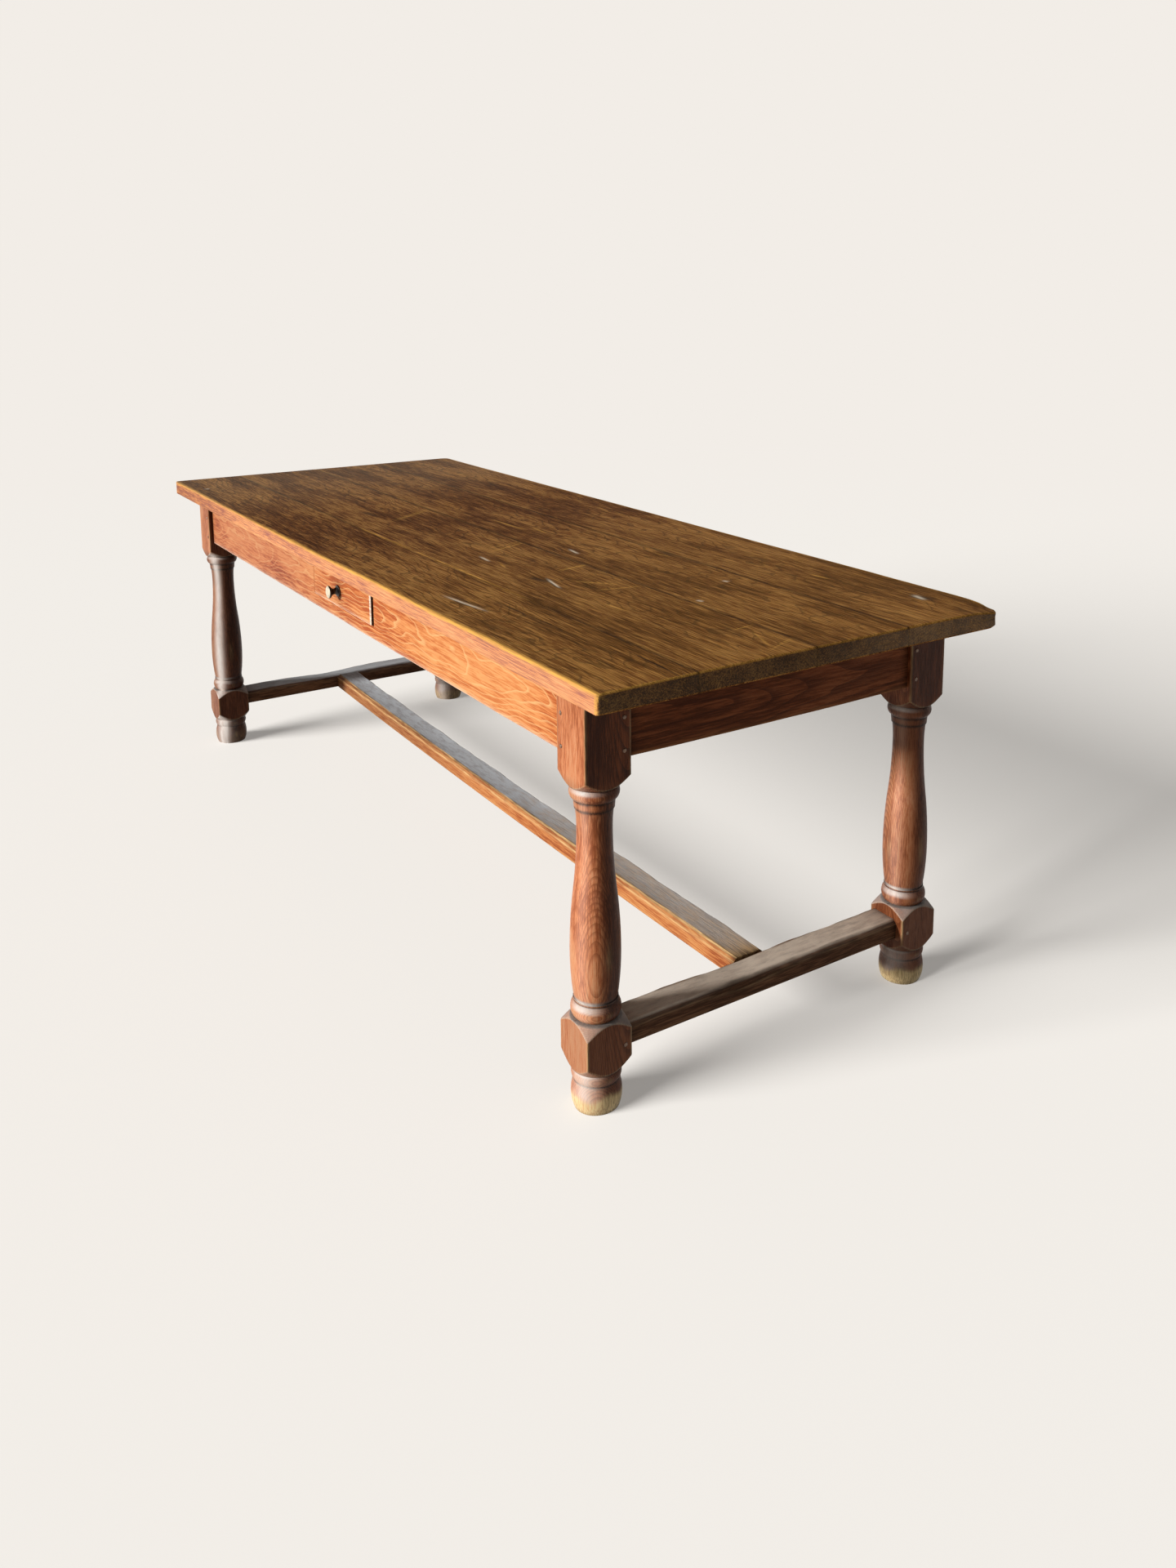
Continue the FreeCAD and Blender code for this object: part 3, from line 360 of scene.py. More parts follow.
@dataclass(frozen=True)
class KnobFinish:
    """Turned hardwood, ebonised black, rubbed to cream on its face by fingers."""

    name: str = "Hardwood_turned_and_ebonised"
    black: str = "15100d"
    brown: str = "2e2019"
    cream: str = "efe0c2"
    cloud_mm: float = 6.0
    roughness: float = 0.34

    def material(self) -> Material:
        """Makes the finish: soft brown clouds in the black, and cream where the share worn is high."""
        material, tree = empty_material(self.name)
        spot = add(tree, "TexCoord", out="Object")
        waves = {"Scale": 1 / (self.cloud_mm * MM), "Detail": 5.0, "Roughness": 0.65}
        cloud = add(tree, "TexNoise", {"Vector": spot, **waves})
        worn = add(tree, "Attribute", out="Fac", attribute_name="worn")
        breakup = add(tree, "MapRange", {0: cloud, 1: 0.3, 2: 0.6, 3: 0.55, 4: 1.1})
        bare = add(tree, "Math", {0: worn, 1: breakup}, operation="MULTIPLY", use_clamp=True)
        colour = linear(self.black)
        for cover, code in ((cloud, self.brown), (bare, self.cream)):
            colour = add(tree, "Mix", {0: cover, 6: colour, 7: linear(code)}, 2, data_type="RGBA")
        matt = add(tree, "MapRange", {0: cloud, 3: self.roughness - 0.08, 4: self.roughness + 0.12})
        relief = add(tree, "Bump", {"Height": cloud, "Strength": 0.2, "Distance": 0.3 * MM})
        look = {"Base Color": colour, "Roughness": matt, "Normal": relief, "IOR": 1.5}
        add(tree, "OutputMaterial", {"Surface": add(tree, "BsdfPrincipled", look)})
        return material


@dataclass(frozen=True)
class SteelFinish:
    """Mild steel, turned and gone dull: grey, with brown tarnish in soft spots."""

    name: str = "Mild_steel_turned_and_dull"
    grey: str = "7d7a75"
    brown: str = "5a4637"
    spot_mm: float = 3.0
    roughness: float = 0.48

    def material(self) -> Material:
        """Makes the finish from one noise of soft spots."""
        material, tree = empty_material(self.name)
        spot = add(tree, "TexCoord", out="Object")
        cloud = add(tree, "TexNoise", {"Vector": spot, "Scale": 1 / (self.spot_mm * MM), "Detail": 4.0})
        tarnish = {0: cloud, 6: linear(self.grey), 7: linear(self.brown)}
        colour = add(tree, "Mix", tarnish, 2, data_type="RGBA")
        matt = add(tree, "MapRange", {0: cloud, 3: self.roughness - 0.1, 4: self.roughness + 0.15})
        look = {"Base Color": colour, "Roughness": matt, "Metallic": 1.0}
        add(tree, "OutputMaterial", {"Surface": add(tree, "BsdfPrincipled", look)})
        return material


class Finishes:
    """The finishes of the table, by the part of it that wears them."""

    ORANGE = OakTones("b95c31", "dd874c", "eea466", "f8c688")
    # The top's lit tones paint the light on its front face, and its dust colour also paints the sheen at the
    # left end.
    TOP = OakFinish(
        "Oak_planed_and_waxed",
        tones=OakTones("4c290d", "905829", "cc924c", "321c09"),
        lit=OakTones("b07062", "e89a6a", "f4b07c", "cc8a66"),
        worn="f7b95c", grime_and_shade="2a1c12", dust_and_sheen="ffeccf", laid_low=0.8,
        ring_mm=5.0, line_share=0.6, line_width=0.35, wander_mm=42, figure=0.4,
        streak_mm=2.0, streak_reach=30, band_mm=16, band_share=0.28, patch_mm=95, curl=0.45,
        roughness=0.55, specular=0.01,
    )
    # The apron's lit tones are darker and paint the shade on the left of the front apron and drawer.
    APRON = OakFinish(
        "Oak_planed_and_stained",
        tones=ORANGE,
        lit=OakTones("8a4a3a", "b86a4a", "cb8158", "d29468"),
        worn="ffeed8", grime_and_shade="0f0906",
        ring_mm=4.6, line_share=0.62, line_width=0.28, figure=0.42, patch_share=0.4,
        roughness=0.48,
    )
    END_APRON = OakFinish(
        "Oak_planed_and_dark_stained",
        tones=OakTones("60341f", "804629", "985a38", "432216"),
        lit=ORANGE,
        worn="a9744a", ring_mm=5.0, line_share=0.6,
    )
    # The leg's lit tones paint the light on the side turned to the lamp, and its dust colour also paints the
    # white highlights.
    LEG = OakFinish(
        "Oak_turned_and_waxed",
        tones=OakTones("44200f", "68381f", "84492a", "2c150b"),
        lit=OakTones("c0683a", "fd9f68", "ffb986", "b05d34"),
        worn="ffe2a8", grime_and_shade="1f110b", dust_and_sheen="f8ece2", laid_low=0.75,
        ring_mm=1.6, line_share=0.6, wander_mm=3, taper=-0.045,
        streak_mm=1.8, band_mm=8, patch_mm=70, patch_share=0.4,
        roughness=0.33, specular=0.1, bump=0.25,
    )
    END_STRETCHER = OakFinish(
        "Oak_hewn_and_trodden",
        tones=OakTones("4d3222", "6d4a34", "896245", "3b261c"),
        lit=OakTones("4a2c1d", "6a412a", "855638", "38201a"),
        worn="d9b78c", dust_and_sheen="fbe8d2", laid_low=0.72,
        ring_mm=3.4, line_share=0.4, speck_mm=12, roughness=0.55,
    )
    FAR_STRETCHER = replace(END_STRETCHER, dust_and_sheen="dde0e2")
    CENTRE_STRETCHER = replace(
        END_STRETCHER,
        name="Oak_hewn_and_foot_worn",
        tones=OakTones("a2552f", "cd7f49", "dd985c", "9a5636"),
        worn="f0c488", dust_and_sheen="f3f8fc", laid_low=0.7,
    )
    PEG = OakFinish(
        "Oak_cleft_and_rubbed",
        tones=OakTones("3d2114", "61351f", "86502f", "2d170d"),
        lit=ORANGE,
        worn="b98d66", ring_mm=1.2, streak_mm=1.5, patch_mm=12, roughness=0.22, specular=0.5,
    )
    INNER = OakFinish(
        "Oak_sawn_and_bare",
        tones=OakTones("6d4d2f", "93704a", "b3916a", "6a4a2c"),
        lit=ORANGE,
        ring_mm=3.2, line_share=0.45, roughness=0.62, bump=0.5,
    )


def ring_faces(count: int, around: int, first: int = 0) -> list:
    """Faces of a stack of closed rings: a cell between neighbours, and a flat face at each end.

    Args:
        count: Number of rings.
        around: Points on each ring.
        first: Number of the first point.

    Returns:
        Lists of point numbers.
    """
    index = first + np.arange(count * around).reshape(count, around)
    here, there = index[:-1], index[1:]
    cells = np.stack([here, np.roll(here, -1, 1), np.roll(there, -1, 1), there], -1)
    return cells.reshape(-1, 4).tolist() + [index[0].tolist(), index[-1].tolist()]


def link_mesh(name: str, points: Array, shares: Shares, sharp: float, faces: list | None = None) -> Object:
    """Puts points and faces into a new object, turned outwards and shaded smooth.

    Args:
        name: Name of the piece.
        points: Points by three, or rings by points by three.
        shares: For a share's name, one number for each point.
        sharp: Angle in degrees above which an edge stays sharp.
        faces: Lists of point numbers, which a stack of rings can leave out.

    Returns:
        The object, at the origin.
    """
    mesh = bpy.data.meshes.new(name)
    mesh.from_pydata(points.reshape(-1, 3), [], faces or ring_faces(*points.shape[:2]))
    work = bmesh.new()
    work.from_mesh(mesh)
    bmesh.ops.recalc_face_normals(work, faces=work.faces)
    work.to_mesh(mesh)
    work.free()
    mesh.shade_smooth()
    mesh.set_sharp_from_angle(angle=math.radians(sharp))
    for share, values in shares.items():
        store = mesh.attributes.new(share, "FLOAT", "POINT")
        store.data.foreach_set("value", np.clip(values, 0, 1).astype(np.float32).ravel())
    piece = bpy.data.objects.new(name, mesh)
    bpy.context.scene.collection.objects.link(piece)
    return piece


def dressed(piece: Object, node: str, body: str, material: Material) -> None:
    """Gives a piece its finish, its body and the CAD node that it stands for, and reports it.

    Args:
        piece: The finished mesh.
        node: The CAD node that it replaces.
        body: The CAD body that it moves with.
        material: Its finish.
    """
    piece.data.materials.append(material)
    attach(piece, body)
    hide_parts(node)
    LOG.info("%s stands for %s on %s, %d faces", piece.name, node, body, len(piece.data.polygons))


def even(count: int) -> Array:
    """Shares of a side that are close together near both its ends.

    Formula: (1 - cos(pi t)) / 2 for t spread evenly between 0 and 1.

    Args:
        count: Number of shares.

    Returns:
        The shares, ends left out.
    """
    return (1 - np.cos(np.pi * np.arange(1, count + 1) / (count + 1))) / 2


def eased_stations(
    low: float, high: float, spacing: float, ease: float, cap: float, extra: Array | None = None
) -> tuple[Array, Array]:
    """Places along a bar with rounded ends, and how far its section draws in at each.

    Formula: at an end the section draws in by ease (1 - cos a) while the place comes in by
    ease (1 - sin a), for a from a right angle to zero, and the flat end has one more ring at cap.

    Args:
        low: The bar's first place.
        high: Its last place.
        spacing: Distance between plain stations.
        ease: Radius of the rounded ends.
        cap: How far the innermost ring of the flat end draws in.
        extra: More places to put a station at.

    Returns:
        The places and the distances drawn in.
    """
    angle = np.linspace(np.pi / 2, 0, 5)
    near = ease * (1 - np.sin(angle))
    inset = ease * (1 - np.cos(angle))
    count = max(int((high - low) / spacing), 3)
    middle = np.linspace(low + ease, high - ease, count)[1:-1]
    if extra is not None:
        inside = extra[(extra > low + ease + MM) & (extra < high - ease - MM)]
        middle = np.unique(np.round(np.concatenate([middle, inside]), 5))
    places = np.concatenate([[low], low + near, middle, (high - near)[::-1], [high]])
    insets = np.concatenate([[cap], inset, np.zeros(len(middle)), inset[::-1], [cap]])
    return places, insets


def oblong(across: Pair, upright: Pair, count: int) -> Array:
    """The corners of one rectangle at count stations, counter-clockwise from the lower first one."""
    (a, b), (low, high) = across, upright
    return np.repeat([[(a, low), (b, low), (b, high), (a, high)]], count, 0)


@dataclass
class Bar:
    """A convex section with eased corners, for all stations of a bar at once.

    Insets has how far each station draws in, and drawn which of the sides do. Corners is stations
    by corners by two, counter-clockwise. Radii has one for each corner, or for each station and
    corner. Flats has, for each side, the shares of its length at which points lie.
    """

    insets: Array
    corners: Array
    radii: Array
    flats: list[Array]
    drawn: Array | float = 1.0

    @staticmethod
    def _headings(corners: Array) -> tuple[Array, Array]:
        """The way of the side that ends at each corner, and its inward normal.

        Args:
            corners: Stations by corners by two, counter-clockwise.

        Returns:
            Both as stations by corners by two.
        """
        before = corners - np.roll(corners, 1, 1)
        heading = before / np.linalg.norm(before, axis=-1, keepdims=True)
        return heading, np.stack([-heading[..., 1], heading[..., 0]], -1)

    def _drawn_in(self) -> Array:
        """The corners once the sides have moved inwards.

        Formula: a corner between sides with inward normals n and m, which move by a and b, moves
        by ((a - b c) n + (b - a c) m) / (1 - c^2), where c is n.m.

        Returns:
            Stations by corners by two.
        """
        amounts = np.broadcast_to(self.insets[:, None] * self.drawn, self.corners.shape[:2])
        inward = self._headings(self.corners)[1]
        following = np.roll(inward, -1, 1)
        first = amounts[..., None]
        second = np.roll(amounts, -1, 1)[..., None]
        lean = (inward * following).sum(-1, keepdims=True)
        moved = (first - second * lean) * inward + (second - first * lean) * following
        return self.corners + moved / (1 - lean**2)

    def section(self) -> Array:
        """The points of the section at each station.

        Formula: at each corner the two sides are cut back by r tan(turn / 2), and an arc of radius
        r joins the cuts. Each side then gets its points.

        Returns:
            Stations by points by two.
        """
        corners = self._drawn_in()
        radii = np.maximum(self.radii - self.insets[:, None], LEAST_ARRIS)
        heading, inward = self._headings(corners)
        following = np.roll(heading, -1, 1)
        cross = heading[..., 0] * following[..., 1] - heading[..., 1] * following[..., 0]
        turn = np.arctan2(cross, (heading * following).sum(-1))
        start = corners - heading * (radii * np.tan(turn / 2))[..., None]
        centre = start + inward * radii[..., None]
        angle = (turn[..., None] * np.linspace(0, 1, ARC_STEPS + 1))[..., None]
        sweep = heading[:, :, None] * np.sin(angle) - inward[:, :, None] * np.cos(angle)
        arcs = centre[:, :, None] + radii[:, :, None, None] * sweep
        parts = []
        for side, shares in enumerate(self.flats):
            begin = arcs[:, side, -1:]
            finish = arcs[:, (side + 1) % len(self.flats), :1]
            parts += [arcs[:, side], begin + (finish - begin) * shares[None, :, None]]
        return np.concatenate(parts, 1)

    def wear(self, weights: Array, reach: float) -> Array:
        """How much each point of the section is rubbed by the nearest corner.

        Formula: a corner's arc has that corner's weight, and along a side the weight falls as
        exp(-distance / reach) from both its ends, of which the larger counts.

        Args:
            weights: One for each corner, or for each station and corner.
            reach: Distance in metres in which the wear falls to a third.

        Returns:
            Stations by points.
        """
        weights = np.broadcast_to(weights, self.corners.shape[:2])
        length = np.linalg.norm(np.roll(self.corners, -1, 1) - self.corners, axis=-1)
        parts = []
        for side, shares in enumerate(self.flats):
            here = weights[:, side, None]
            there = weights[:, (side + 1) % len(self.flats), None]
            gone = length[:, side, None] * shares
            left = length[:, side, None] - gone
            parts.append(np.repeat(here, ARC_STEPS + 1, 1))
            parts.append(np.maximum(here * np.exp(-gone / reach), there * np.exp(-left / reach)))
        return np.concatenate(parts, 1)


@dataclass(frozen=True)
class Mark:
    """A scar in the top: a split, scuff or knot, in metres on the table's plan.

    White is the share of bare dusty wood in it, golden that of rubbed wood, and grime that of dirt, which
    beside some splits is their painted shadow.
    """

    x: float
    y: float
    length: float
    width: float
    turn: float = 0.0
    depth: float = 0.0
    white: float = 0.0
    golden: float = 0.0
    grime_and_shade: float = 0.0

    def footprint(self, points: Array) -> Array:
        """The share of the mark at each point.

        Formula: exp(-(u^4 + v^2)), where u and v run along and across the mark in half sizes.

        Args:
            points: Any shape by three.

        Returns:
            The shares.
        """
        turn = math.radians(self.turn)
        right = points[..., 0] - self.x
        ahead = points[..., 1] - self.y
        along = (right * math.cos(turn) + ahead * math.sin(turn)) / (self.length / 2)
        across = (ahead * math.cos(turn) - right * math.sin(turn)) / (self.width / 2)
        return np.exp(-np.minimum(along**4 + across**2, 60))

    def lines(self) -> tuple[Array, Array]:
        """The places along X and Y where the mesh needs a line to show the mark."""
        turn = math.radians(self.turn)
        along = abs(math.cos(turn))
        across = abs(math.sin(turn))
        fan = 0.68 * np.linspace(-1, 1, 9)
        wide = self.length * along + self.width * across
        deep = self.length * across + self.width * along
        return self.x + fan * wide, self.y + fan * deep


@dataclass
class TableTop:
    """The four boards of the top, joined edge to edge. The sag's drops are in mm."""

    half_length: float = 1.165
    low: float = 0.724
    high: float = 0.760
    edges: tuple[float, ...] = (-0.432, -0.250, -0.012, 0.195, 0.432)
    names: tuple[str, ...] = ("front", "middle_front", "middle_back", "back")
    hearts: tuple[Pair, ...] = ((-0.36, 0.62), (-0.10, 0.66), (0.12, 0.60), (0.30, 0.64))
    spacing: float = 0.020
    end_ease: float = 0.004
    open_joint: float = 0.0003
    corner_radii: tuple[float, ...] = (0.010, 0.006, 0.022, 0.030)
    upper_arris: float = 0.0036
    lower_arris: float = 0.0025
    joint_arris: float = 0.0009
    arris_reach: float = 0.0016
    joint_wear: float = 0.12
    lower_wear: float = 0.1
    end_cap: float = 0.002
    scar_margin: float = 0.01
    plain_rows: int = 16
    row_margin: float = 0.005
    beside_joint: Pair = (0.0054, 0.0076)
    knocked_span: Pair = (0.12, 0.006)
    knocked_steps: int = 16
    skin: float = 0.002
    sag_places: tuple[float, ...] = (-1.165, -0.9, -0.6, -0.3, 0.1, 0.35, 0.6, 0.82, 1.165)
    sag_drops: tuple[float, ...] = (0.0, 0.6, 2.2, 3.4, 3.4, 1.6, 3.2, 0.8, 2.2)
    sag_reach: float = 0.12
    corner_drop: float = 0.008
    corner_reach: float = 0.050
    pale_joint: Pair = (-0.35, 0.80)
    pale_fade: float = 0.3
    pale_half: float = 0.0022
    pale_wear: float = 0.45
    right_wear: float = 0.12
    handled_reach: float = 0.045
    handled_grime: float = 0.08
    seam_half: float = 0.002
    seam_grime: float = 0.75
    end_darkening: float = 0.46
    end_dust: float = 0.13
    painted_sheen: float = 0.1
    marks: tuple[Mark, ...] = (
        # Dark marks lying beside white splits are the splits' painted shadows.
        Mark(0.586, -0.358, 0.126, 0.0060, 6, 0.0012, white=1.0),
        Mark(0.570, -0.350, 0.147, 0.0080, 5, 0.0003, grime_and_shade=0.8),
        Mark(0.548, -0.149, 0.072, 0.0058, -12, 0.0012, white=1.0),
        Mark(0.507, -0.155, 0.060, 0.0180, 10, 0.0005, grime_and_shade=0.85),
        Mark(0.276, -0.160, 0.046, 0.0056, -5, 0.0006, white=1.0),
        Mark(0.356, -0.159, 0.032, 0.0050, -8, 0.0004, golden=1.0),
        Mark(0.318, 0.034, 0.046, 0.0060, -8, 0.0006, white=1.0),
        Mark(0.196, -0.064, 0.117, 0.0088, -67, 0.0003, golden=0.68),
        Mark(0.172, -0.060, 0.087, 0.0063, -75, 0.0002, golden=0.51),
        Mark(0.451, -0.040, 0.090, 0.0100, -79, 0.0003, golden=0.85),
        Mark(0.510, -0.027, 0.105, 0.0060, 4, 0.0003, grime_and_shade=0.5),
        Mark(0.594, -0.076, 0.094, 0.0088, 40, 0.0003, golden=0.85),
        Mark(0.654, -0.063, 0.090, 0.0075, 77, 0.0003, golden=0.77),
        Mark(-0.279, -0.083, 0.134, 0.0150, -56, 0.0002, golden=0.42),
        Mark(0.771, -0.148, 0.066, 0.0063, 6, 0.0003, golden=0.85),
        Mark(-0.028, 0.059, 0.141, 0.0063, 1, 0.0002, golden=0.77),
        Mark(0.075, 0.086, 0.069, 0.0075, -7, 0.0002, golden=0.77),
        Mark(0.743, -0.304, 0.289, 0.0060, 0, 0.0004, grime_and_shade=0.6),
        Mark(-0.352, -0.163, 0.074, 0.0160, 7, 0.0004, grime_and_shade=0.8),
        Mark(-0.974, -0.392, 0.012, 0.0100, 0, 0.0003, white=1.0),
        Mark(-0.816, 0.317, 0.030, 0.0100, 20, 0.0003, golden=1.0),
        Mark(0.799, 0.317, 0.045, 0.0075, 4, 0.0003, golden=1.0),
        Mark(0.446, 0.188, 0.071, 0.0070, -5, 0.0004, grime_and_shade=0.8),
        Mark(0.453, 0.174, 0.054, 0.0050, 6, 0.0003, golden=0.85),
        Mark(0.723, 0.139, 0.014, 0.0075, 7, 0.0003, white=1.0),
        Mark(0.819, 0.006, 0.014, 0.0075, 16, 0.0003, white=1.0),
        Mark(1.027, 0.360, 0.034, 0.0110, -12, 0.0006, white=1.0),
        Mark(1.031, 0.365, 0.057, 0.0260, 22, 0.0005, grime_and_shade=0.8),
        Mark(1.006, -0.040, 0.055, 0.0050, -80, 0.0003, golden=0.68),
        Mark(1.078, -0.059, 0.087, 0.0050, -20, 0.0003, golden=0.68),
        Mark(1.065, -0.030, 0.038, 0.0050, 0, 0.0003, golden=0.68),
        Mark(1.119, -0.049, 0.082, 0.0050, -65, 0.0003, golden=0.68),
        Mark(0.927, -0.152, 0.094, 0.0040, -7, 0.0004, grime_and_shade=0.6),
        Mark(1.095, -0.280, 0.140, 0.0050, -3, 0.0010, grime_and_shade=1.0),
        Mark(0.342, -0.2475, 0.060, 0.0075, 0, 0.0008, golden=1.0),
    )

    def build(self) -> None:
        """Builds and dresses the four boards."""
        for number, name in enumerate(self.names):
            self._board(number, f"top_board_{name}")

    def _board(self, number: int, node: str) -> None:
        """One board: a rounded rectangle carried along X, with rounded ends.

        Args:
            number: Which board, from the front.
            node: The CAD node that it stands for.
        """
        first = number == 0
        last = number == len(self.names) - 1
        near = self.edges[number] + (0 if first else self.open_joint)
        far = self.edges[number + 1] - (0 if last else self.open_joint)
        margin = self.scar_margin
        scars = [mark for mark in self.marks if near - margin < mark.y < far + margin]
        columns, rows = zip(*[mark.lines() for mark in scars])
        start, stop = (self.half_length - inset for inset in self.knocked_span)
        columns = np.concatenate([np.linspace(start, stop, self.knocked_steps), *columns])
        cap = (self.high - self.low) / 2 - self.end_cap
        span = (-self.half_length, self.half_length)
        places, insets = eased_stations(*span, self.spacing, self.end_ease, cap, columns)
        beside = np.array(self.beside_joint)
        plain = near + (far - near) * even(self.plain_rows)
        rows = np.concatenate([plain, *rows, near + beside, far - beside])
        inside = (rows > near + self.row_margin) & (rows < far - self.row_margin)
        rows = np.unique(np.round(rows[inside], 4))
        outer = np.array([first, last, last, first])
        arrises = np.array([self.lower_arris] * 2 + [self.upper_arris] * 2)
        rub = 1 + 0.25 * ripple(places, 3.0 + number)
        bar = Bar(
            insets,
            oblong((near, far), (self.low, self.high), len(places)),
            np.where(outer, arrises, self.joint_arris) * rub[:, None],
            [even(8), even(5), np.sort((far - rows) / (far - near)), even(5)],
            np.array([first, True, last, True]),
        )
        flat = Grain.X.lay(places, bar.section())
        shares = self._stains(flat, insets, scars, number)
        points = self._settled(flat, scars, number)
        x, y, z = np.moveaxis(points, -1, 0)
        upper_wear = np.where(outer[2:], 1.0, self.joint_wear)
        weights = np.array([self.lower_wear] * 2 + [*upper_wear]) * np.ones((len(places), 1))
        weights[:, 3] *= 0.6 + 0.4 * smooth(places, -0.5, 0.3)
        front = smooth(near - y, -0.002, -0.0005) * first
        turning = ((insets > 0.2 * MM) & (insets < 3 * MM))[:, None]
        upper_end = 0.42 + 0.4 * smooth(-y, 0.1, 0.35)
        end_arris = turning * np.where(z > self.high - 0.012, upper_end, 0.8 * (front > 0.5))
        worn = np.maximum(bar.wear(weights, self.arris_reach), end_arris)
        shares["worn"] = np.maximum(worn, shares["worn"])
        inward = np.abs(x) < self.half_length - 0.003
        # Painted light: the front face takes the lit tones, a little less towards the left.
        shares["light_and_shade"] = front * inward * (0.62 + 0.38 * smooth(x, -1.2, -0.3))
        piece = link_mesh(f"oak_{node}", points, shares, 40)
        heart = (0, *self.hearts[number])
        dressed(piece, node, "table", Finishes.TOP.material(node, heart, Grain.X))

    def _settled(self, points: Array, scars: list[Mark], number: int) -> Array:
        """Rounds the plan corners and dips the upper face.

        Formula: the plan corners come in by R - sqrt(R^2 - (R - d)^2), where d is the distance from
        the long edge. The upper face dips by the sag, which fades from the front edge, by a slow
        ripple, by the knocked corner and by its marks.

        Args:
            points: Stations by points by three.
            scars: The board's marks.
            number: Which board, from the front.

        Returns:
            The moved points.
        """
        x, y, z = np.moveaxis(points, -1, 0)
        radius = np.array(self.corner_radii)[(x > 0).astype(int) + 2 * (y > 0)]
        edge = np.clip(radius - (self.edges[-1] - np.abs(y)), 0, radius)
        cut = radius - np.sqrt(radius**2 - edge**2)
        near_end = smooth(np.abs(x), self.half_length - 0.06, self.half_length - 0.004)
        sag = np.interp(x, self.sag_places, self.sag_drops) * MM
        to_front = np.exp(-np.clip(y - self.edges[0], 0, None) / self.sag_reach)
        wave = 0.25 * MM * (1 + ripple(x, 1.7 * number + 0.4, 0.7))
        to_corner = np.hypot(self.half_length - x, self.edges[-1] - y)
        knocked = self.corner_drop * np.exp(-((to_corner / self.corner_reach) ** 2))
        upper = smooth(z, self.low + 0.02, self.high - 0.003)
        lowered = z - upper * (sag * to_front + wave + knocked)
        for scar in scars:
            lowered = lowered - scar.footprint(points) * (z > self.high - self.skin) * scar.depth
        return np.stack([x - np.sign(x) * cut * near_end, y, lowered], -1)

    def _stains(self, points: Array, insets: Array, scars: list[Mark], number: int) -> Shares:
        """Darker end faces, grimy or pale joints, a painted sheen on the left end, rubbed wood at the right,
        and the marks.

        Args:
            points: Stations by points by three, not yet settled.
            insets: How far each station draws in.
            scars: The board's marks.
            number: Which board, from the front.

        Returns:
            The shares of rubbed wood, of grime with the painted shadows beside splits, and of bare dusty
            wood with the painted sheen.
        """
        x, y, z = np.moveaxis(points, -1, 0)
        flat_top = z > self.high - self.skin
        end_face = (insets[:, None] > 3 * MM) * np.ones(points.shape[1])
        handled = np.exp(-(y - self.edges[0]) / self.handled_reach) * smooth(-x, -0.7, 0.0)
        to_near_end = smooth(-y, -0.25, 0.05)
        darker_end = self.end_darkening + 0.2 * to_near_end + 0.12 * ripple(y, 4.0 + number, 0.25)
        seams = np.abs(y[..., None] - np.array(self.edges[1:-1])).min(-1)
        start, stop = self.pale_joint
        fade = self.pale_fade
        pale = smooth(x, start, start + fade) * smooth(-x, -stop, fade - stop)
        pale = pale * (np.abs(y - self.edges[1]) < self.pale_half)
        dirty = (seams < self.seam_half) * (x > -self.half_length + 0.01) * (1 - pale) * (1 - end_face)
        grime_and_shade = np.maximum(darker_end * end_face, self.handled_grime * handled * flat_top)
        shares = {
            "worn": np.maximum(self.pale_wear * pale, self.right_wear * flat_top * smooth(x, -0.1, 0.8)),
            "grime_and_shade": np.maximum(grime_and_shade, self.seam_grime * dirty),
            "dust_and_sheen": self.end_dust * end_face * (1 - 0.6 * to_near_end),
        }
        # Painted sheen: the top turns paler towards its left end.
        shares["dust_and_sheen"] = shares["dust_and_sheen"] + self.painted_sheen * flat_top * smooth(-x, 0.3, 1.1)
        for scar in scars:
            part = scar.footprint(points) * flat_top
            for name, amount in (("worn", scar.golden), ("grime_and_shade", scar.grime_and_shade), ("dust_and_sheen", scar.white)):
                shares[name] = np.maximum(shares[name], part * amount)
        return shares


@dataclass(frozen=True)
class Leg:
    """A leg's place, the heart of its tree beside it, and how it has aged.

    The block and the shaft take the lit tones on the side to the light, as painted light. Below the
    block soot may cover it. A band at band_turn degrees round from +X is a painted highlight, with a
    further share of lit tones and a share of white. Scrub is the share of pale scrubbed wood at the
    foot.
    """

    name: str
    place: Pair
    heart: Pair
    block: float
    shaft: float
    soot: float
    band: float
    painted_highlight: float
    band_turn: float
    scrub: float


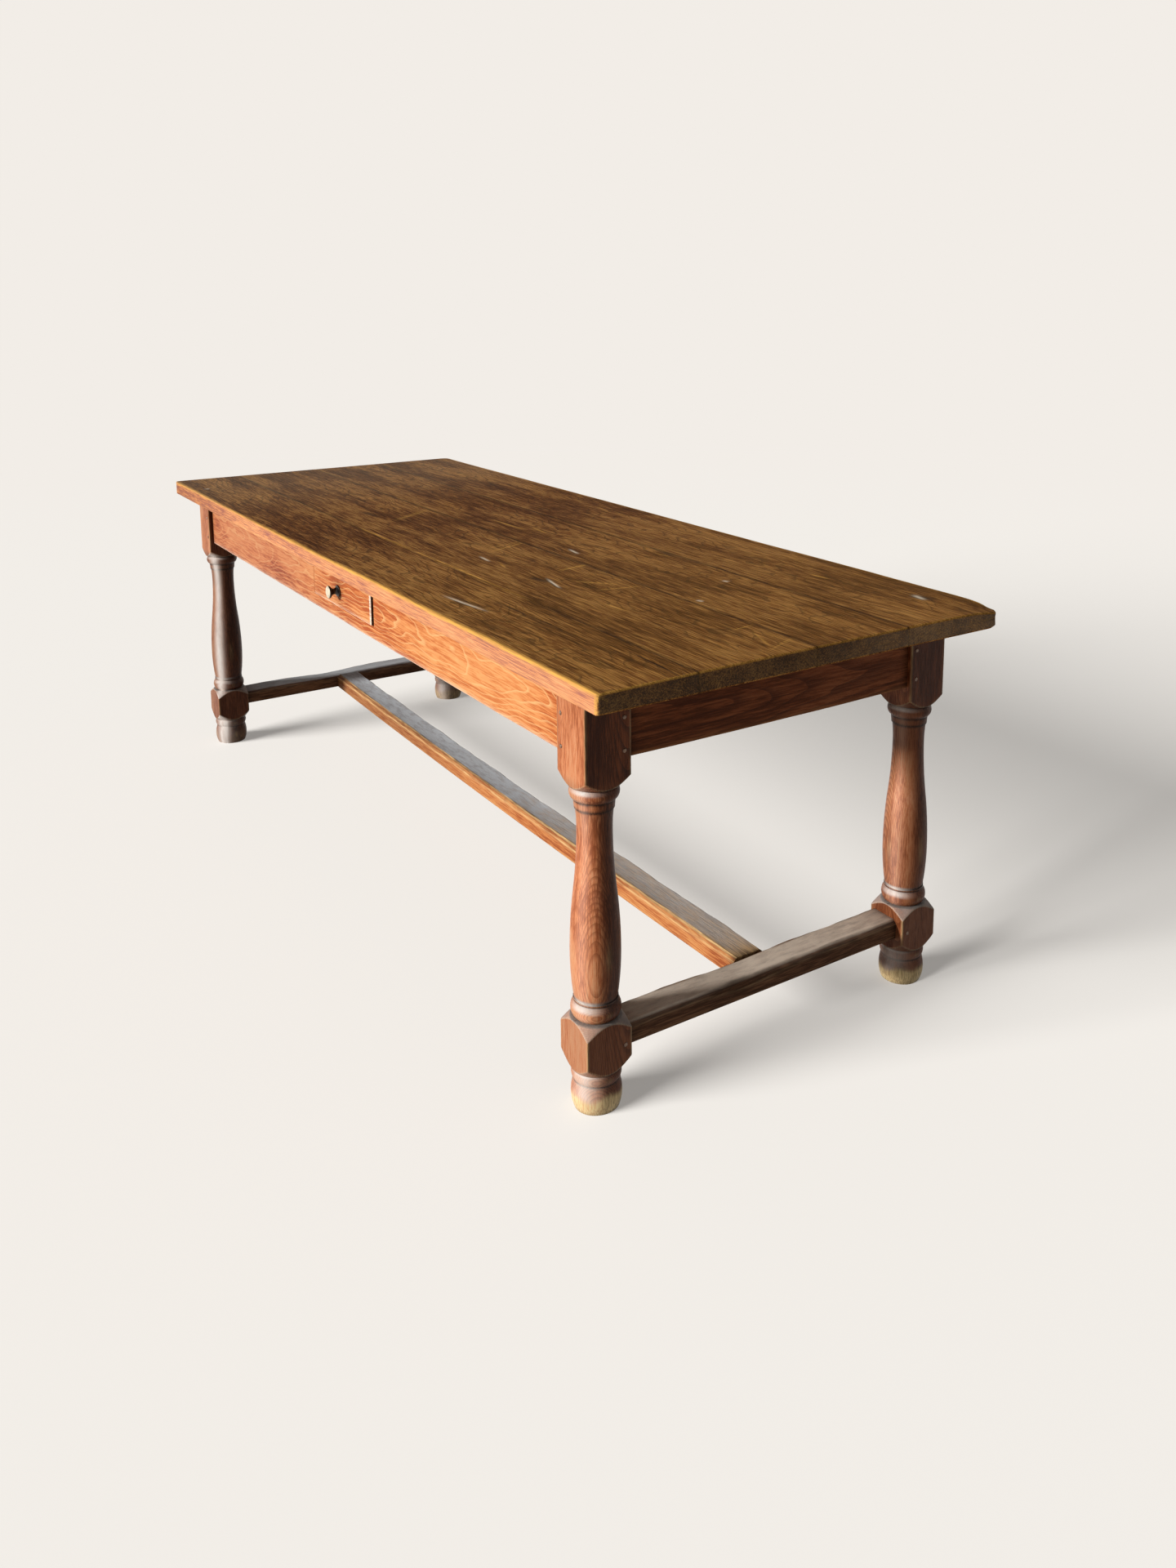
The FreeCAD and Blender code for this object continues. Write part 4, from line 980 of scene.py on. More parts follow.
@dataclass
class LegSkin:
    """Where one leg is worn, grimy and dusty, and where light and shade are painted on it.

    Z and turned are columns with the height and the profile's radius of each ring. Post and radius
    are the post's and the leg's radius at each point, and angle runs round the leg.
    """

    leg: Leg
    number: int
    z: Array
    turned: Array
    post: Array
    radius: Array
    angle: Array
    half: float
    band_width: float = 18.0
    light_turn: float = -82.0
    block_start: Pair = (0.56, 0.58)
    painted_lit_span: Pair = (0.30, 0.42)
    painted_shadow_span: Pair = (0.460, 0.484)
    corner_span: Pair = (1.345, 1.39)
    arris_wear: float = 0.4
    scrub_height: float = 0.027
    scrub_ripple: float = 0.003
    root_reaches: Pair = (0.0017, 0.014)
    roots_mm: tuple[float, ...] = (50, 71, 160, 190, 194, 519, 534, 558)
    shoulder: Pair = (0.141, 0.1602)

    def __post_init__(self) -> None:
        """Works out the parts of the leg that several shares read."""
        self.flat_face = smooth(self.turned - self.post, 0.5 * MM, 2 * MM)
        self.upper = smooth(self.z, *self.block_start)
        self.round_part = (1 - self.flat_face) * (1 - self.upper)
        self.on_shoulder = (self.z > self.shoulder[0]) & (self.z < self.shoulder[1])
        wavy = np.sin(2 * self.angle + self.number), np.sin(5 * self.angle + 2 * self.number)
        edge = self.scrub_height + self.scrub_ripple * wavy[0] + self.scrub_ripple * wavy[1]
        self.scrubbed = smooth(edge - self.z, -0.009, 0.006)
        slope = np.clip(np.gradient(self.turned[:, 0], self.z[:, 0]), -3, 3)[:, None]
        self.lean = slope / np.sqrt(1 + slope**2)
        # Band and glint place the painted highlights round the leg.
        away = 1 - np.cos(self.angle - math.radians(self.leg.band_turn))
        self.band = np.exp(-away / (1 - math.cos(math.radians(self.band_width))))
        self.glint = np.exp(-away / (1 - math.cos(math.radians(2 * self.band_width))))

    def shares(self) -> Shares:
        """All four shares of the leg."""
        return {
            "worn": self._worn(), "light_and_shade": self._light_and_shade(), "grime_and_shade": self._grime_and_shade(), "dust_and_sheen": self._dust_and_sheen()
        }

    def _worn(self) -> Array:
        """Pale arrises of the blocks, pale arches where they end, and the scrubbed foot."""
        corner = smooth(self.radius, *(self.half * part for part in self.corner_span))
        rubbed = corner * (0.6 + 0.4 * ripple(self.z, self.number + 0.3, 0.2))
        arch = np.exp(-(((self.turned - self.post) / MM) ** 2))
        arrises = self.arris_wear * np.maximum(rubbed, arch)
        return np.maximum(arrises, self.leg.scrub * self.scrubbed)

    def _light_and_shade(self) -> Array:
        """Painted light on the sides to the light and in a highlight band, and painted shadow high up the
        back shafts.
        """
        facing = smooth(-np.sin(self.angle), 0.69, 0.72)
        sunward = smooth(np.cos(self.angle - math.radians(self.light_turn)), 0.0, 0.9)
        block = (0.84 + 0.16 * self.upper) * self.leg.block * facing
        # Painted shadow high on the shafts, mostly of the back legs, above a painted lit part.
        neck = 0.8 * smooth(self.z, *self.painted_lit_span) - 1.8 * smooth(self.z, *self.painted_shadow_span)
        shaft = self.leg.shaft * sunward + self.leg.band * self.band
        shaft = shaft * (1 + max(0.0, 0.8 - self.leg.block) * neck)
        flat = np.maximum(block, 0.1 * (1 - self.upper))
        return self.flat_face * flat + (1 - self.flat_face) * shaft

    def _grime_and_shade(self) -> Array:
        """Darker in the roots of the beads and under the top, painted shade under the beads, and dirt at the
        floor, soot below the block and grime on flat faces and shoulders.
        """
        nearest = np.abs(self.z - np.array(self.roots_mm) * MM).min(1)[:, None]
        tight, wide = self.root_reaches
        darker_in_roots = 0.75 * np.exp(-((nearest / tight) ** 2)) + 0.25 * np.exp(-nearest / wide)
        # Painted shade on the undersides of the beads and bulges.
        painted_shade_beneath = smooth(self.lean, 0.25, 0.7) * smooth(self.z, 0.03, 0.04)
        layers = (
            0.5 * np.exp(-(self.z[-1] - self.z) / 0.012),
            0.5 * np.exp(-self.z / 0.003),
            self.leg.soot * (1 - self.upper),
            0.15 * self.flat_face * (1 - self.upper),
            0.55 * painted_shade_beneath * self.round_part,
            0.4 * self.on_shoulder * self.round_part,
        )
        grime_and_shade = darker_in_roots * (1 - self.flat_face)
        for layer in layers:
            grime_and_shade = np.maximum(grime_and_shade, layer)
        return grime_and_shade

    def _dust_and_sheen(self) -> Array:
        """Painted white highlights on what looks up, along the lit band and round the foot above its
        scrubbed end, and dust on the shoulders.
        """
        skyward = smooth(-self.lean, 0.05, 0.45) * np.where(self.on_shoulder, 0.28, 0.95 * self.glint)
        foot = 0.5 * smooth(-self.z, -0.075, -0.068)
        painted_highlight = np.maximum(skyward, self.leg.painted_highlight * self.band + foot * self.glint)
        return painted_highlight * (1 - self.scrubbed * min(1.0, self.leg.scrub)) * self.round_part


@dataclass
class TurnedLegs:
    """The four legs, each turned from one square post."""

    legs: tuple[Leg, ...] = (
        Leg("front_left", (-1.022, -0.350), (0.05, 0.06), 0.58, 0.46, 0.40, 0.3, 0.95, -46.0, 0.12),
        Leg("front_right", (1.022, -0.350), (-0.062, 0.036), 0.72, 0.75, 0.0, 0.25, 0.15, -63.0, 1.2),
        Leg("back_left", (-1.022, 0.350), (-0.06, 0.04), 0.2, 0.2, 0.3, 0.0, 0.3, -46.0, 0.5),
        Leg("back_right", (1.022, 0.350), (0.03, 0.07), 0.25, 0.28, 0.0, 0.36, 0.14, -72.0, 1.2),
    )
    half: float = 0.043
    arris_power: float = 44.0
    seam_power: float = 160.0
    octant_steps: int = 14
    chip: float = 0.8 * MM

    @staticmethod
    def bead(low: float, high: float, root: float, crest: float, count: int) -> Array:
        """A round bead: the arc through its two roots and its crest.

        Args:
            low: Height of the lower root, in mm as all these sizes.
            high: Height of the upper root.
            root: Radius at the roots.
            crest: Radius at the crest.
            count: Number of points.

        Returns:
            Points by (height, radius).
        """
        reach = (high - low) / 2
        rise = crest - root
        radius = (reach**2 + rise**2) / (2 * rise)
        z = np.linspace(low, high, count)
        return np.stack([z, crest - radius + np.sqrt(radius**2 - (z - low - reach) ** 2)], 1)

    @staticmethod
    def swell(start: Pair, end: Pair, count: int) -> Array:
        """An arc that leaves its start upright.

        Formula: r = r0 - R + sign(R) sqrt(R^2 - (z - z0)^2), with R = (dr^2 + dz^2) / (2 (r0 - r1)).

        Args:
            start: Height and radius where the arc stands upright, in mm.
            end: Height and radius at its other end.
            count: Number of points.

        Returns:
            Points by (height, radius), from start to end.
        """
        dz = end[0] - start[0]
        dr = end[1] - start[1]
        radius = (dr * dr + dz * dz) / (-2 * dr)
        z = np.linspace(start[0], end[0], count)
        arc = math.copysign(1, radius) * np.sqrt(radius**2 - (z - start[0]) ** 2)
        return np.stack([z, start[1] - radius + arc], 1)

    def profile(self) -> Array:
        """The turner's profile from the floor up, in mm, as points by (height, radius)."""

        def run(low: float, high: float, first: float, last: float, count: int) -> Array:
            """A straight run of the profile."""
            return np.stack([np.linspace(low, high, count), np.linspace(first, last, count)], 1)

        belly = (272, 42.0)
        waist = (378.4, 35.65)
        neck = (484.9, 29.3)
        return np.concatenate(
            [
                self.bead(0, 50, 38.2, 42.6, 18),
                self.bead(50.05, 71, 38.2, 42.0, 12),
                run(71.05, 93, 42.4, 60.9, 22),
                run(93.05, 141.95, 75, 75, 14),
                run(142, 160, 60.9, 42.4, 22),
                self.bead(160.05, 190, 35.5, 42.0, 15),
                run(190.05, 194, 37.4, 37.4, 3),
                self.swell(belly, (194.05, 36.3), 14)[::-1],
                self.swell(belly, waist, 18)[1:],
                self.swell(neck, waist, 18)[::-1][1:],
                self.swell(neck, (519, 31.4), 8)[1:],
                run(519.05, 534, 33.0, 34.2, 4),
                self.bead(534.05, 558, 34.8, 41.2, 14),
                run(558.05, 577, 42.4, 60.9, 22),
                run(577.05, 724, 75, 75, 26),
            ]
        )

    def build(self) -> None:
        """Builds and dresses the four legs."""
        for number, leg in enumerate(self.legs):
            self._leg(number, leg)

    def _leg(self, number: int, leg: Leg) -> None:
        """One leg: the turned profile cut off by the post's four faces, with a chipped foot.

        Formula: r = (p^-q + s^-q)^(-1/q), the softened lesser of the profile's radius p and the
        post's radius s = h / (|cos a|^n + |sin a|^n)^(1/n), whose corners are slightly rounded.

        Args:
            number: Which leg.
            leg: Its place and age.
        """
        z, turned = np.split(self.profile() * MM, 2, axis=1)
        u = np.arange(self.octant_steps) / self.octant_steps
        octant = (np.pi / 4) * (1 - (1 - u) ** 1.6)
        quarter = np.concatenate([octant, np.pi / 2 - np.concatenate([[np.pi / 4], octant[:0:-1]])])
        angle = np.concatenate([quarter + np.pi / 2 * turn for turn in range(4)])
        blunt = self.arris_power * (1 + 0.3 * ripple(z, 2.0 * number, 0.3))
        spread = np.abs(np.cos(angle)) ** blunt + np.abs(np.sin(angle)) ** blunt
        post = self.half / spread ** (1 / blunt)
        power = self.seam_power
        lesser = ((turned / self.half) ** -power + (post / self.half) ** -power) ** (-1 / power)
        chips = smooth(-z, -0.016, 0.0) * (0.6 + 0.6 * np.sin(3 * angle + 2 * number))
        radius = self.half * lesser - self.chip * np.clip(chips, 0, 1)
        x, y = leg.place
        flat = [x + radius * np.cos(angle), y + radius * np.sin(angle)]
        points = np.stack([*flat, np.broadcast_to(z, radius.shape)], -1)
        skin = LegSkin(leg, number, z, turned, post, radius, angle, self.half)
        node = f"leg_{leg.name}"
        piece = link_mesh(f"oak_{node}", points, skin.shares(), 50)
        heart = (x + leg.heart[0], y + leg.heart[1], 0)
        dressed(piece, node, "table", Finishes.LEG.material(node, heart, Grain.Z))


@dataclass
class Aprons:
    """The four rails under the top, the front one with its notch for the drawer."""

    half_length: float = 0.979
    half_width: float = 0.307
    heights: Pair = (0.600, 0.724)
    front: Pair = (-0.382, -0.354)
    end: Pair = (1.028, 1.056)
    notch: Pair = (-0.154, 0.200)
    notch_floor: float = 0.627
    arris: float = 0.0015
    arris_reach: float = 0.003
    end_lift: float = 0.0018
    left_gap: float = 0.0035
    spacing: float = 0.020
    front_spacing: float = 0.015
    beside_break: float = 0.004
    grime_reach: float = 0.006
    plain_grime_reach: float = 0.008
    grid_mm: tuple[float, ...] = (0, 3, 7, 13, 20, 27, 31, 38, 50, 64, 80, 96, 110, 118, 124)

    def build(self) -> None:
        """Builds and dresses the four aprons."""
        self._front()
        back = (-self.front[1], -self.front[0])
        self._plain("back_apron", Grain.X, back, self.half_length, (0.2, 0.33, 0.57), Finishes.APRON)
        for side, name in ((-1, "left_end_apron"), (1, "right_end_apron")):
            span = tuple(sorted((side * self.end[0], side * self.end[1])))
            heart = (side * 0.955, 0.0, 0.655)
            self._plain(name, Grain.Y, span, self.half_width, heart, Finishes.END_APRON)

    def _lift(self, places: Array, half: float) -> Array:
        """How far a worn lower edge rises: more to the ends, with a slow ripple."""
        return self.end_lift * (places / half) ** 2 + 0.4 * MM * (1 + ripple(places, 5.0, 0.6))

    def _plain(
        self, node: str, grain: Grain, span: Pair, half: float, heart: Point, finish: OakFinish
    ) -> None:
        """A plain rail: a rectangle with eased arrises carried along its grain.

        Args:
            node: The CAD node that it stands for.
            grain: The way it runs.
            span: Its two faces.
            half: Half its length.
            heart: The heart of its tree.
            finish: Its oak.
        """
        places, insets = eased_stations(-half, half, self.spacing, *LEG_END)
        corners = oblong(span, self.heights, len(places))
        corners[:, :2, 1] += self._lift(places, half)[:, None]
        radii = self.arris * np.array([1.0, 1.0, 0.4, 0.4])
        bar = Bar(insets, corners, radii, [even(4), even(12), even(4), even(12)])
        points = grain.lay(places, bar.section())
        # Painted shade in a band under the top; at the legs, dark joints.
        painted_shade_under_top = 0.6 * np.exp(-(self.heights[1] - points[..., 2]) / self.plain_grime_reach)
        at_legs = 0.6 * np.exp(-(half - np.abs(places)) / self.grime_reach)[:, None]
        worn = bar.wear(np.array([0.7, 0.7, 0.0, 0.0]), self.arris_reach)
        shares = {"worn": worn, "grime_and_shade": np.maximum(painted_shade_under_top, at_legs)}
        piece = link_mesh(f"oak_{node}", points, shares, 40)
        dressed(piece, node, "table", finish.material(node, heart, grain))

    def _front(self) -> None:
        """The front rail: a grid of cells with the drawer's notch left out, given its thickness.

        Formula: cells of the x, z grid outside the notch make the two faces, and every edge between
        a cell that is there and one that isn't makes a wall. A bevel eases the arrises.
        """
        low, high = self.heights
        breaks = np.array([-self.half_length + self.left_gap, *self.notch, self.half_length])
        counts = np.maximum((np.diff(breaks) / self.front_spacing).astype(int), 2)
        spans = [np.linspace(a, b, count) for a, b, count in zip(breaks, breaks[1:], counts)]
        beside = [breaks[:-1] + self.beside_break, breaks[1:] - self.beside_break]
        x = np.unique(np.round(np.concatenate(spans + beside), 5))
        z = np.array(self.grid_mm) * MM + low
        middle_x = (x[:-1] + x[1:]) / 2
        middle_z = (z[:-1] + z[1:]) / 2
        in_notch = (middle_x > self.notch[0]) & (middle_x < self.notch[1])
        there = ~(in_notch[:, None] & (middle_z > self.notch_floor)[None])
        index = np.arange(len(x) * len(z)).reshape(len(x), len(z))
        behind = index + index.size
        cells = np.stack([index[:-1, :-1], index[1:, :-1], index[1:, 1:], index[:-1, 1:]], -1)
        faces = [cells[there], (cells + index.size)[there]]
        padded = np.pad(there, 1)
        up = np.argwhere(padded[1:-1, 1:] != padded[1:-1, :-1])
        right = np.argwhere(padded[1:, 1:-1] != padded[:-1, 1:-1])
        for edges, step in ((up, (1, 0)), (right, (0, 1))):
            i, j = edges[:, 0], edges[:, 1]
            k, m = i + step[0], j + step[1]
            faces.append(np.stack([index[i, j], index[k, m], behind[k, m], behind[i, j]], -1))
        used, faces = np.unique(np.concatenate(faces), return_inverse=True)
        grid = np.stack(np.meshgrid(x, z, indexing="ij"), -1).reshape(-1, 2)
        x, z = np.concatenate([grid, grid])[used].T
        y = np.repeat(self.front, index.size)[used]
        bottom = smooth(-z, -low - 0.02, -low)
        points = np.stack([x, y, z + bottom * self._lift(x, self.half_length)], -1)
        # Painted shade in a band under the top; at the legs, dark joints.
        painted_shade_under_top = 0.5 * np.exp(-(high - z) / self.grime_reach)
        at_legs = 0.7 * np.exp(-(self.half_length - np.abs(x)) / self.grime_reach)
        shares = {
            "worn": 0.6 * np.exp(-(z - low) / self.arris_reach),
            # Painted shade: the left part takes the darker second tones.
            "light_and_shade": 0.8 * smooth(-x, -0.25, 0.45),
            "grime_and_shade": np.maximum(painted_shade_under_top, at_legs),
        }
        piece = link_mesh("oak_front_apron", points, shares, 40, faces.reshape(-1, 4).tolist())
        ease = piece.modifiers.new("eased_arrises", "BEVEL")
        ease.width = self.arris
        ease.segments = 2
        ease.limit_method = "ANGLE"
        ease.angle_limit = math.radians(50)
        material = Finishes.APRON.material("front_apron", (0.0, -0.300, 0.668), Grain.X)
        dressed(piece, "front_apron", "table", material)


@dataclass
class Rail:
    """A chamfered rail: its stations, section, worn hollow and finish.

    Corners is stations by six by two, weights the wear of the six corners, and hollow the depth of
    the hollow at each station. Warm is the share of golden trodden wood on top at the right, brown
    that of brown wood at the left, and cleared how much dust feet took off at the right.
    """

    node: str
    grain: Grain
    places: Array
    insets: Array
    corners: Array
    weights: Array
    hollow: Array
    finish: OakFinish
    heart: Point
    warm: float = 0.0
    brown: float = 0.0
    cleared: float = 0.0
    radii_mm: tuple[float, ...] = (2.0, 2.0, 1.6, 2.2, 2.2, 1.6)
    wear_reach: float = 0.002
    grime_reach: float = 0.012
    dust_reach: float = 0.05
    bare_span: Pair = (0.68, 0.76)
    risen_span: Pair = (0.026, 0.034)

    def build(self) -> None:
        """Carries the section along the rail and dresses it.

        Formula: the top dips by hollow (1 - v^2), where v runs from -1 to 1 across the rail.
        """
        places = self.places
        flats = [even(4), even(5), even(3), even(9), even(3), even(5)]
        bar = Bar(self.insets, self.corners, np.array(self.radii_mm) * MM, flats)
        section = bar.section()
        rub = 0.7 + 0.3 * ripple(places, len(self.node), 0.3)
        worn = bar.wear(self.weights * rub[:, None], self.wear_reach)
        first, second = self.corners[:, :1, 0], self.corners[:, 1:2, 0]
        across = np.clip((section[..., 0] - (first + second) / 2) / ((second - first) / 2), -1, 1)
        upper = smooth(section[..., 1] - self.corners[:, 3:4, 1], -0.004, -0.001)
        section[..., 1] -= upper * self.hollow[:, None] * (1 - across**2)
        risen = smooth(section[..., 1] - self.corners[:, :1, 1], *self.risen_span)
        bare_arris = smooth(-across, *self.bare_span)
        ends = np.abs(places).max() - np.abs(places)
        kept = 1 - 0.6 * np.exp(-ends / self.dust_reach) - self.cleared * smooth(places, 0.0, 0.5)
        shares = {
            "worn": np.maximum(worn, self.warm * smooth(places, -0.2, 0.4)[:, None] * upper),
            # Painted light and shade by face: the upper face and, by brown, the left part take the second
            # tones.
            "light_and_shade": np.maximum(upper, self.brown * smooth(-places, -0.1, 0.6)[:, None]),
            "grime_and_shade": 0.7 * np.exp(-ends / self.grime_reach)[:, None] * np.ones_like(upper),
            "dust_and_sheen": np.maximum(upper, 0.1 * risen) * (1 - bare_arris) * kept[:, None],
        }
        piece = link_mesh(f"oak_{self.node}", self.grain.lay(places, section), shares, 40)
        material = self.finish.material(self.node, self.heart, self.grain)
        dressed(piece, self.node, "table", material)


@dataclass
class Stretchers:
    """The H of low rails that tie the legs, worn by feet and grey with dust."""

    half_length: float = 0.984
    half_width: float = 0.307
    thick: float = 0.038
    centre_half: float = 0.035
    end_span: Pair = (0.982, 1.048)
    rises: Pair = (0.113, 0.100)
    sag: float = 0.009
    chamfer: float = 0.008
    spacings: Pair = (0.012, 0.008)

    def build(self) -> None:
        """Builds and dresses the three stretchers."""
        self._centre()
        self._end("left_end_stretcher", -1, self.rises[0], Finishes.FAR_STRETCHER)
        self._end("right_end_stretcher", 1, self.rises[1], Finishes.END_STRETCHER)

    def _section(self, span: Pair, low: Array, drop: Array, left: Array, right: Array) -> Array:
        """Corners of a rail with two chamfers on its upper arrises.

        Args:
            span: Its two faces.
            low: Height of the underside at each station.
            drop: How far the top is worn down at each station.
            left: Chamfer at the first face.
            right: Chamfer at the second face.

        Returns:
            Stations by six by two, counter-clockwise from the lower corner of the first face.
        """
        a, b = (face * np.ones_like(low) for face in span)
        top = low + self.thick - drop
        corners = [(a, low), (b, low), (b, top - right), (b - right, top), (a + left, top), (a, top - left)]
        return np.stack([np.stack(pair, -1) for pair in corners], 1)

    def _centre(self) -> None:
        """The long rail, which slopes between the end rails and hangs through in the middle."""
        half = self.half_length
        places, insets = eased_stations(-half, half, self.spacings[0], *LEG_END)
        share = (places + half) / (2 * half)
        low = self.rises[0] + (self.rises[1] - self.rises[0]) * share
        low = low - self.sag * (1 - (places / half) ** 2)
        drop = 0.5 * MM * (1 + ripple(places, 8.0, 0.4))
        left = self.chamfer * (1 + 0.22 * ripple(places, 2.0, 0.35))
        right = self.chamfer * (1 + 0.3 * ripple(places, 6.0, 0.3))
        corners = self._section((-self.centre_half, self.centre_half), low, drop, left, right)
        weights = np.array([0.25, 0.1, 0.4, 0.5, 1.0, 1.0])
        hollow = 1.2 * MM * (1 + ripple(places, 4.0, 0.5))
        finish = Finishes.CENTRE_STRETCHER
        rail = Rail(
            "centre_stretcher", Grain.X, places, insets, corners, weights, hollow, finish, (0.0, 0.03, 0.05),
            warm=0.95, brown=0.52, cleared=0.45,
        )
        rail.build()

    def _end(self, node: str, side: int, rise: float, finish: OakFinish) -> None:
        """One of the two end rails, with the top worn hollow beside the long rail's joint.

        Args:
            node: The CAD node that it stands for.
            side: -1 for the left end, 1 for the right.
            rise: Height of its underside.
            finish: Its oak.
        """
        half = self.half_width
        places, insets = eased_stations(-half, half, self.spacings[1], *LEG_END)
        trodden = np.exp(-(((places + 0.05) / 0.10) ** 2))
        drop = 0.4 * MM * (1 + ripple(places, 3.0 * side, 0.25)) + 2.2 * MM * trodden
        outer = self.chamfer * (1 + 0.25 * ripple(places, 1.0, 0.25) + 0.7 * trodden)
        inner = self.chamfer * (1 + 0.25 * ripple(places, 7.0, 0.25))
        span = tuple(sorted((side * self.end_span[0], side * self.end_span[1])))
        chamfers = (inner, outer) if side > 0 else (outer, inner)
        corners = self._section(span, np.full_like(places, rise), drop, *chamfers)
        weights = np.array([0.1, 0.1, 0.25, 0.35, 0.35, 0.25])
        hollow = 0.6 * MM + 2.0 * MM * trodden
        heart = (side * 1.0, 0.0, 0.05)
        Rail(node, Grain.Y, places, insets, corners, weights, hollow, finish, heart).build()


@dataclass
class Pegs:
    """The wooden pegs of the joints, whose domed heads stand a little proud."""

    radius: float = 0.96 * 0.004
    proud: float = 0.0015
    buried: float = 0.004
    side_face: float = 0.393
    end_face: float = 1.065
    side_place: float = 0.992
    end_place: float = 0.320
    apron_heights: Pair = (0.618, 0.673)
    stretcher_heights: Pair = (0.128, 0.115)
    dome: float = 0.93
    uneven: float = 0.04
    sides: int = 20

    def build(self) -> None:
        """Builds and dresses the pegs of the aprons and those of the stretchers."""
        legs = [(sx, sy) for sx in (-1, 1) for sy in (-1, 1)]
        spots, outs = [], []
        for sx, sy in legs:
            for height in self.apron_heights:
                spots.append((sx * self.side_place, sy * self.side_face, height))
                spots.append((sx * self.end_face, sy * self.end_place, height))
                outs += [(0, sy, 0), (sx, 0, 0)]
        self._heads("apron_pegs", np.array(spots), np.array(outs, float))
        low = dict(zip((-1, 1), self.stretcher_heights))
        spots = [(sx * self.end_face, sy * self.end_place, low[sx]) for sx, sy in legs]
        self._heads("stretcher_pegs", np.array(spots), np.array([(sx, 0, 0) for sx, _ in legs], float))

    def _heads(self, node: str, spots: Array, outs: Array) -> None:
        """All pegs of one kind: low domes, eight-sided in places, on short shanks.

        Formula: at height h above the face the radius is r sqrt(1 - (0.93 h / proud)^2), made a
        little uneven round the peg by 1 + 0.04 cos(4 a + n) for the nth peg.

        Args:
            node: The CAD node that they stand for.
            spots: Middle of each peg on its face.
            outs: The way each looks out.
        """
        lift = np.array([-self.buried, *self.proud * np.array([0, 0.35, 0.7, 0.9, 1.0])])
        shape = np.sqrt(1 - (self.dome * np.clip(lift, 0, None) / self.proud) ** 2)
        angle = np.linspace(0, 2 * np.pi, self.sides, endpoint=False)
        uneven = 1 + self.uneven * np.cos(4 * angle[None] + np.arange(len(spots))[:, None])
        ring = self.radius * shape[None, :, None] * uneven[:, None]
        upright = np.array([0.0, 0.0, 1.0])
        aside = np.cross(upright, outs)
        points = (
            spots[:, None, None]
            + outs[:, None, None] * lift[None, :, None, None]
            + (ring * np.cos(angle))[..., None] * aside[:, None, None]
            + (ring * np.sin(angle))[..., None] * upright
        )
        count, around = points.shape[1:3]
        faces = []
        for number in range(len(spots)):
            faces += ring_faces(count, around, number * count * around)
        crown = np.broadcast_to((lift > 0.5 * self.proud)[None, :, None], points.shape[:3])
        foot = np.broadcast_to((lift <= 0)[None, :, None], points.shape[:3])
        piece = link_mesh(f"oak_{node}", points, {"worn": 0.6 * crown, "grime_and_shade": 1.0 * foot}, 60, faces)
        dressed(piece, node, "table", Finishes.PEG.material(node, (0, 0, 0), Grain.Y))


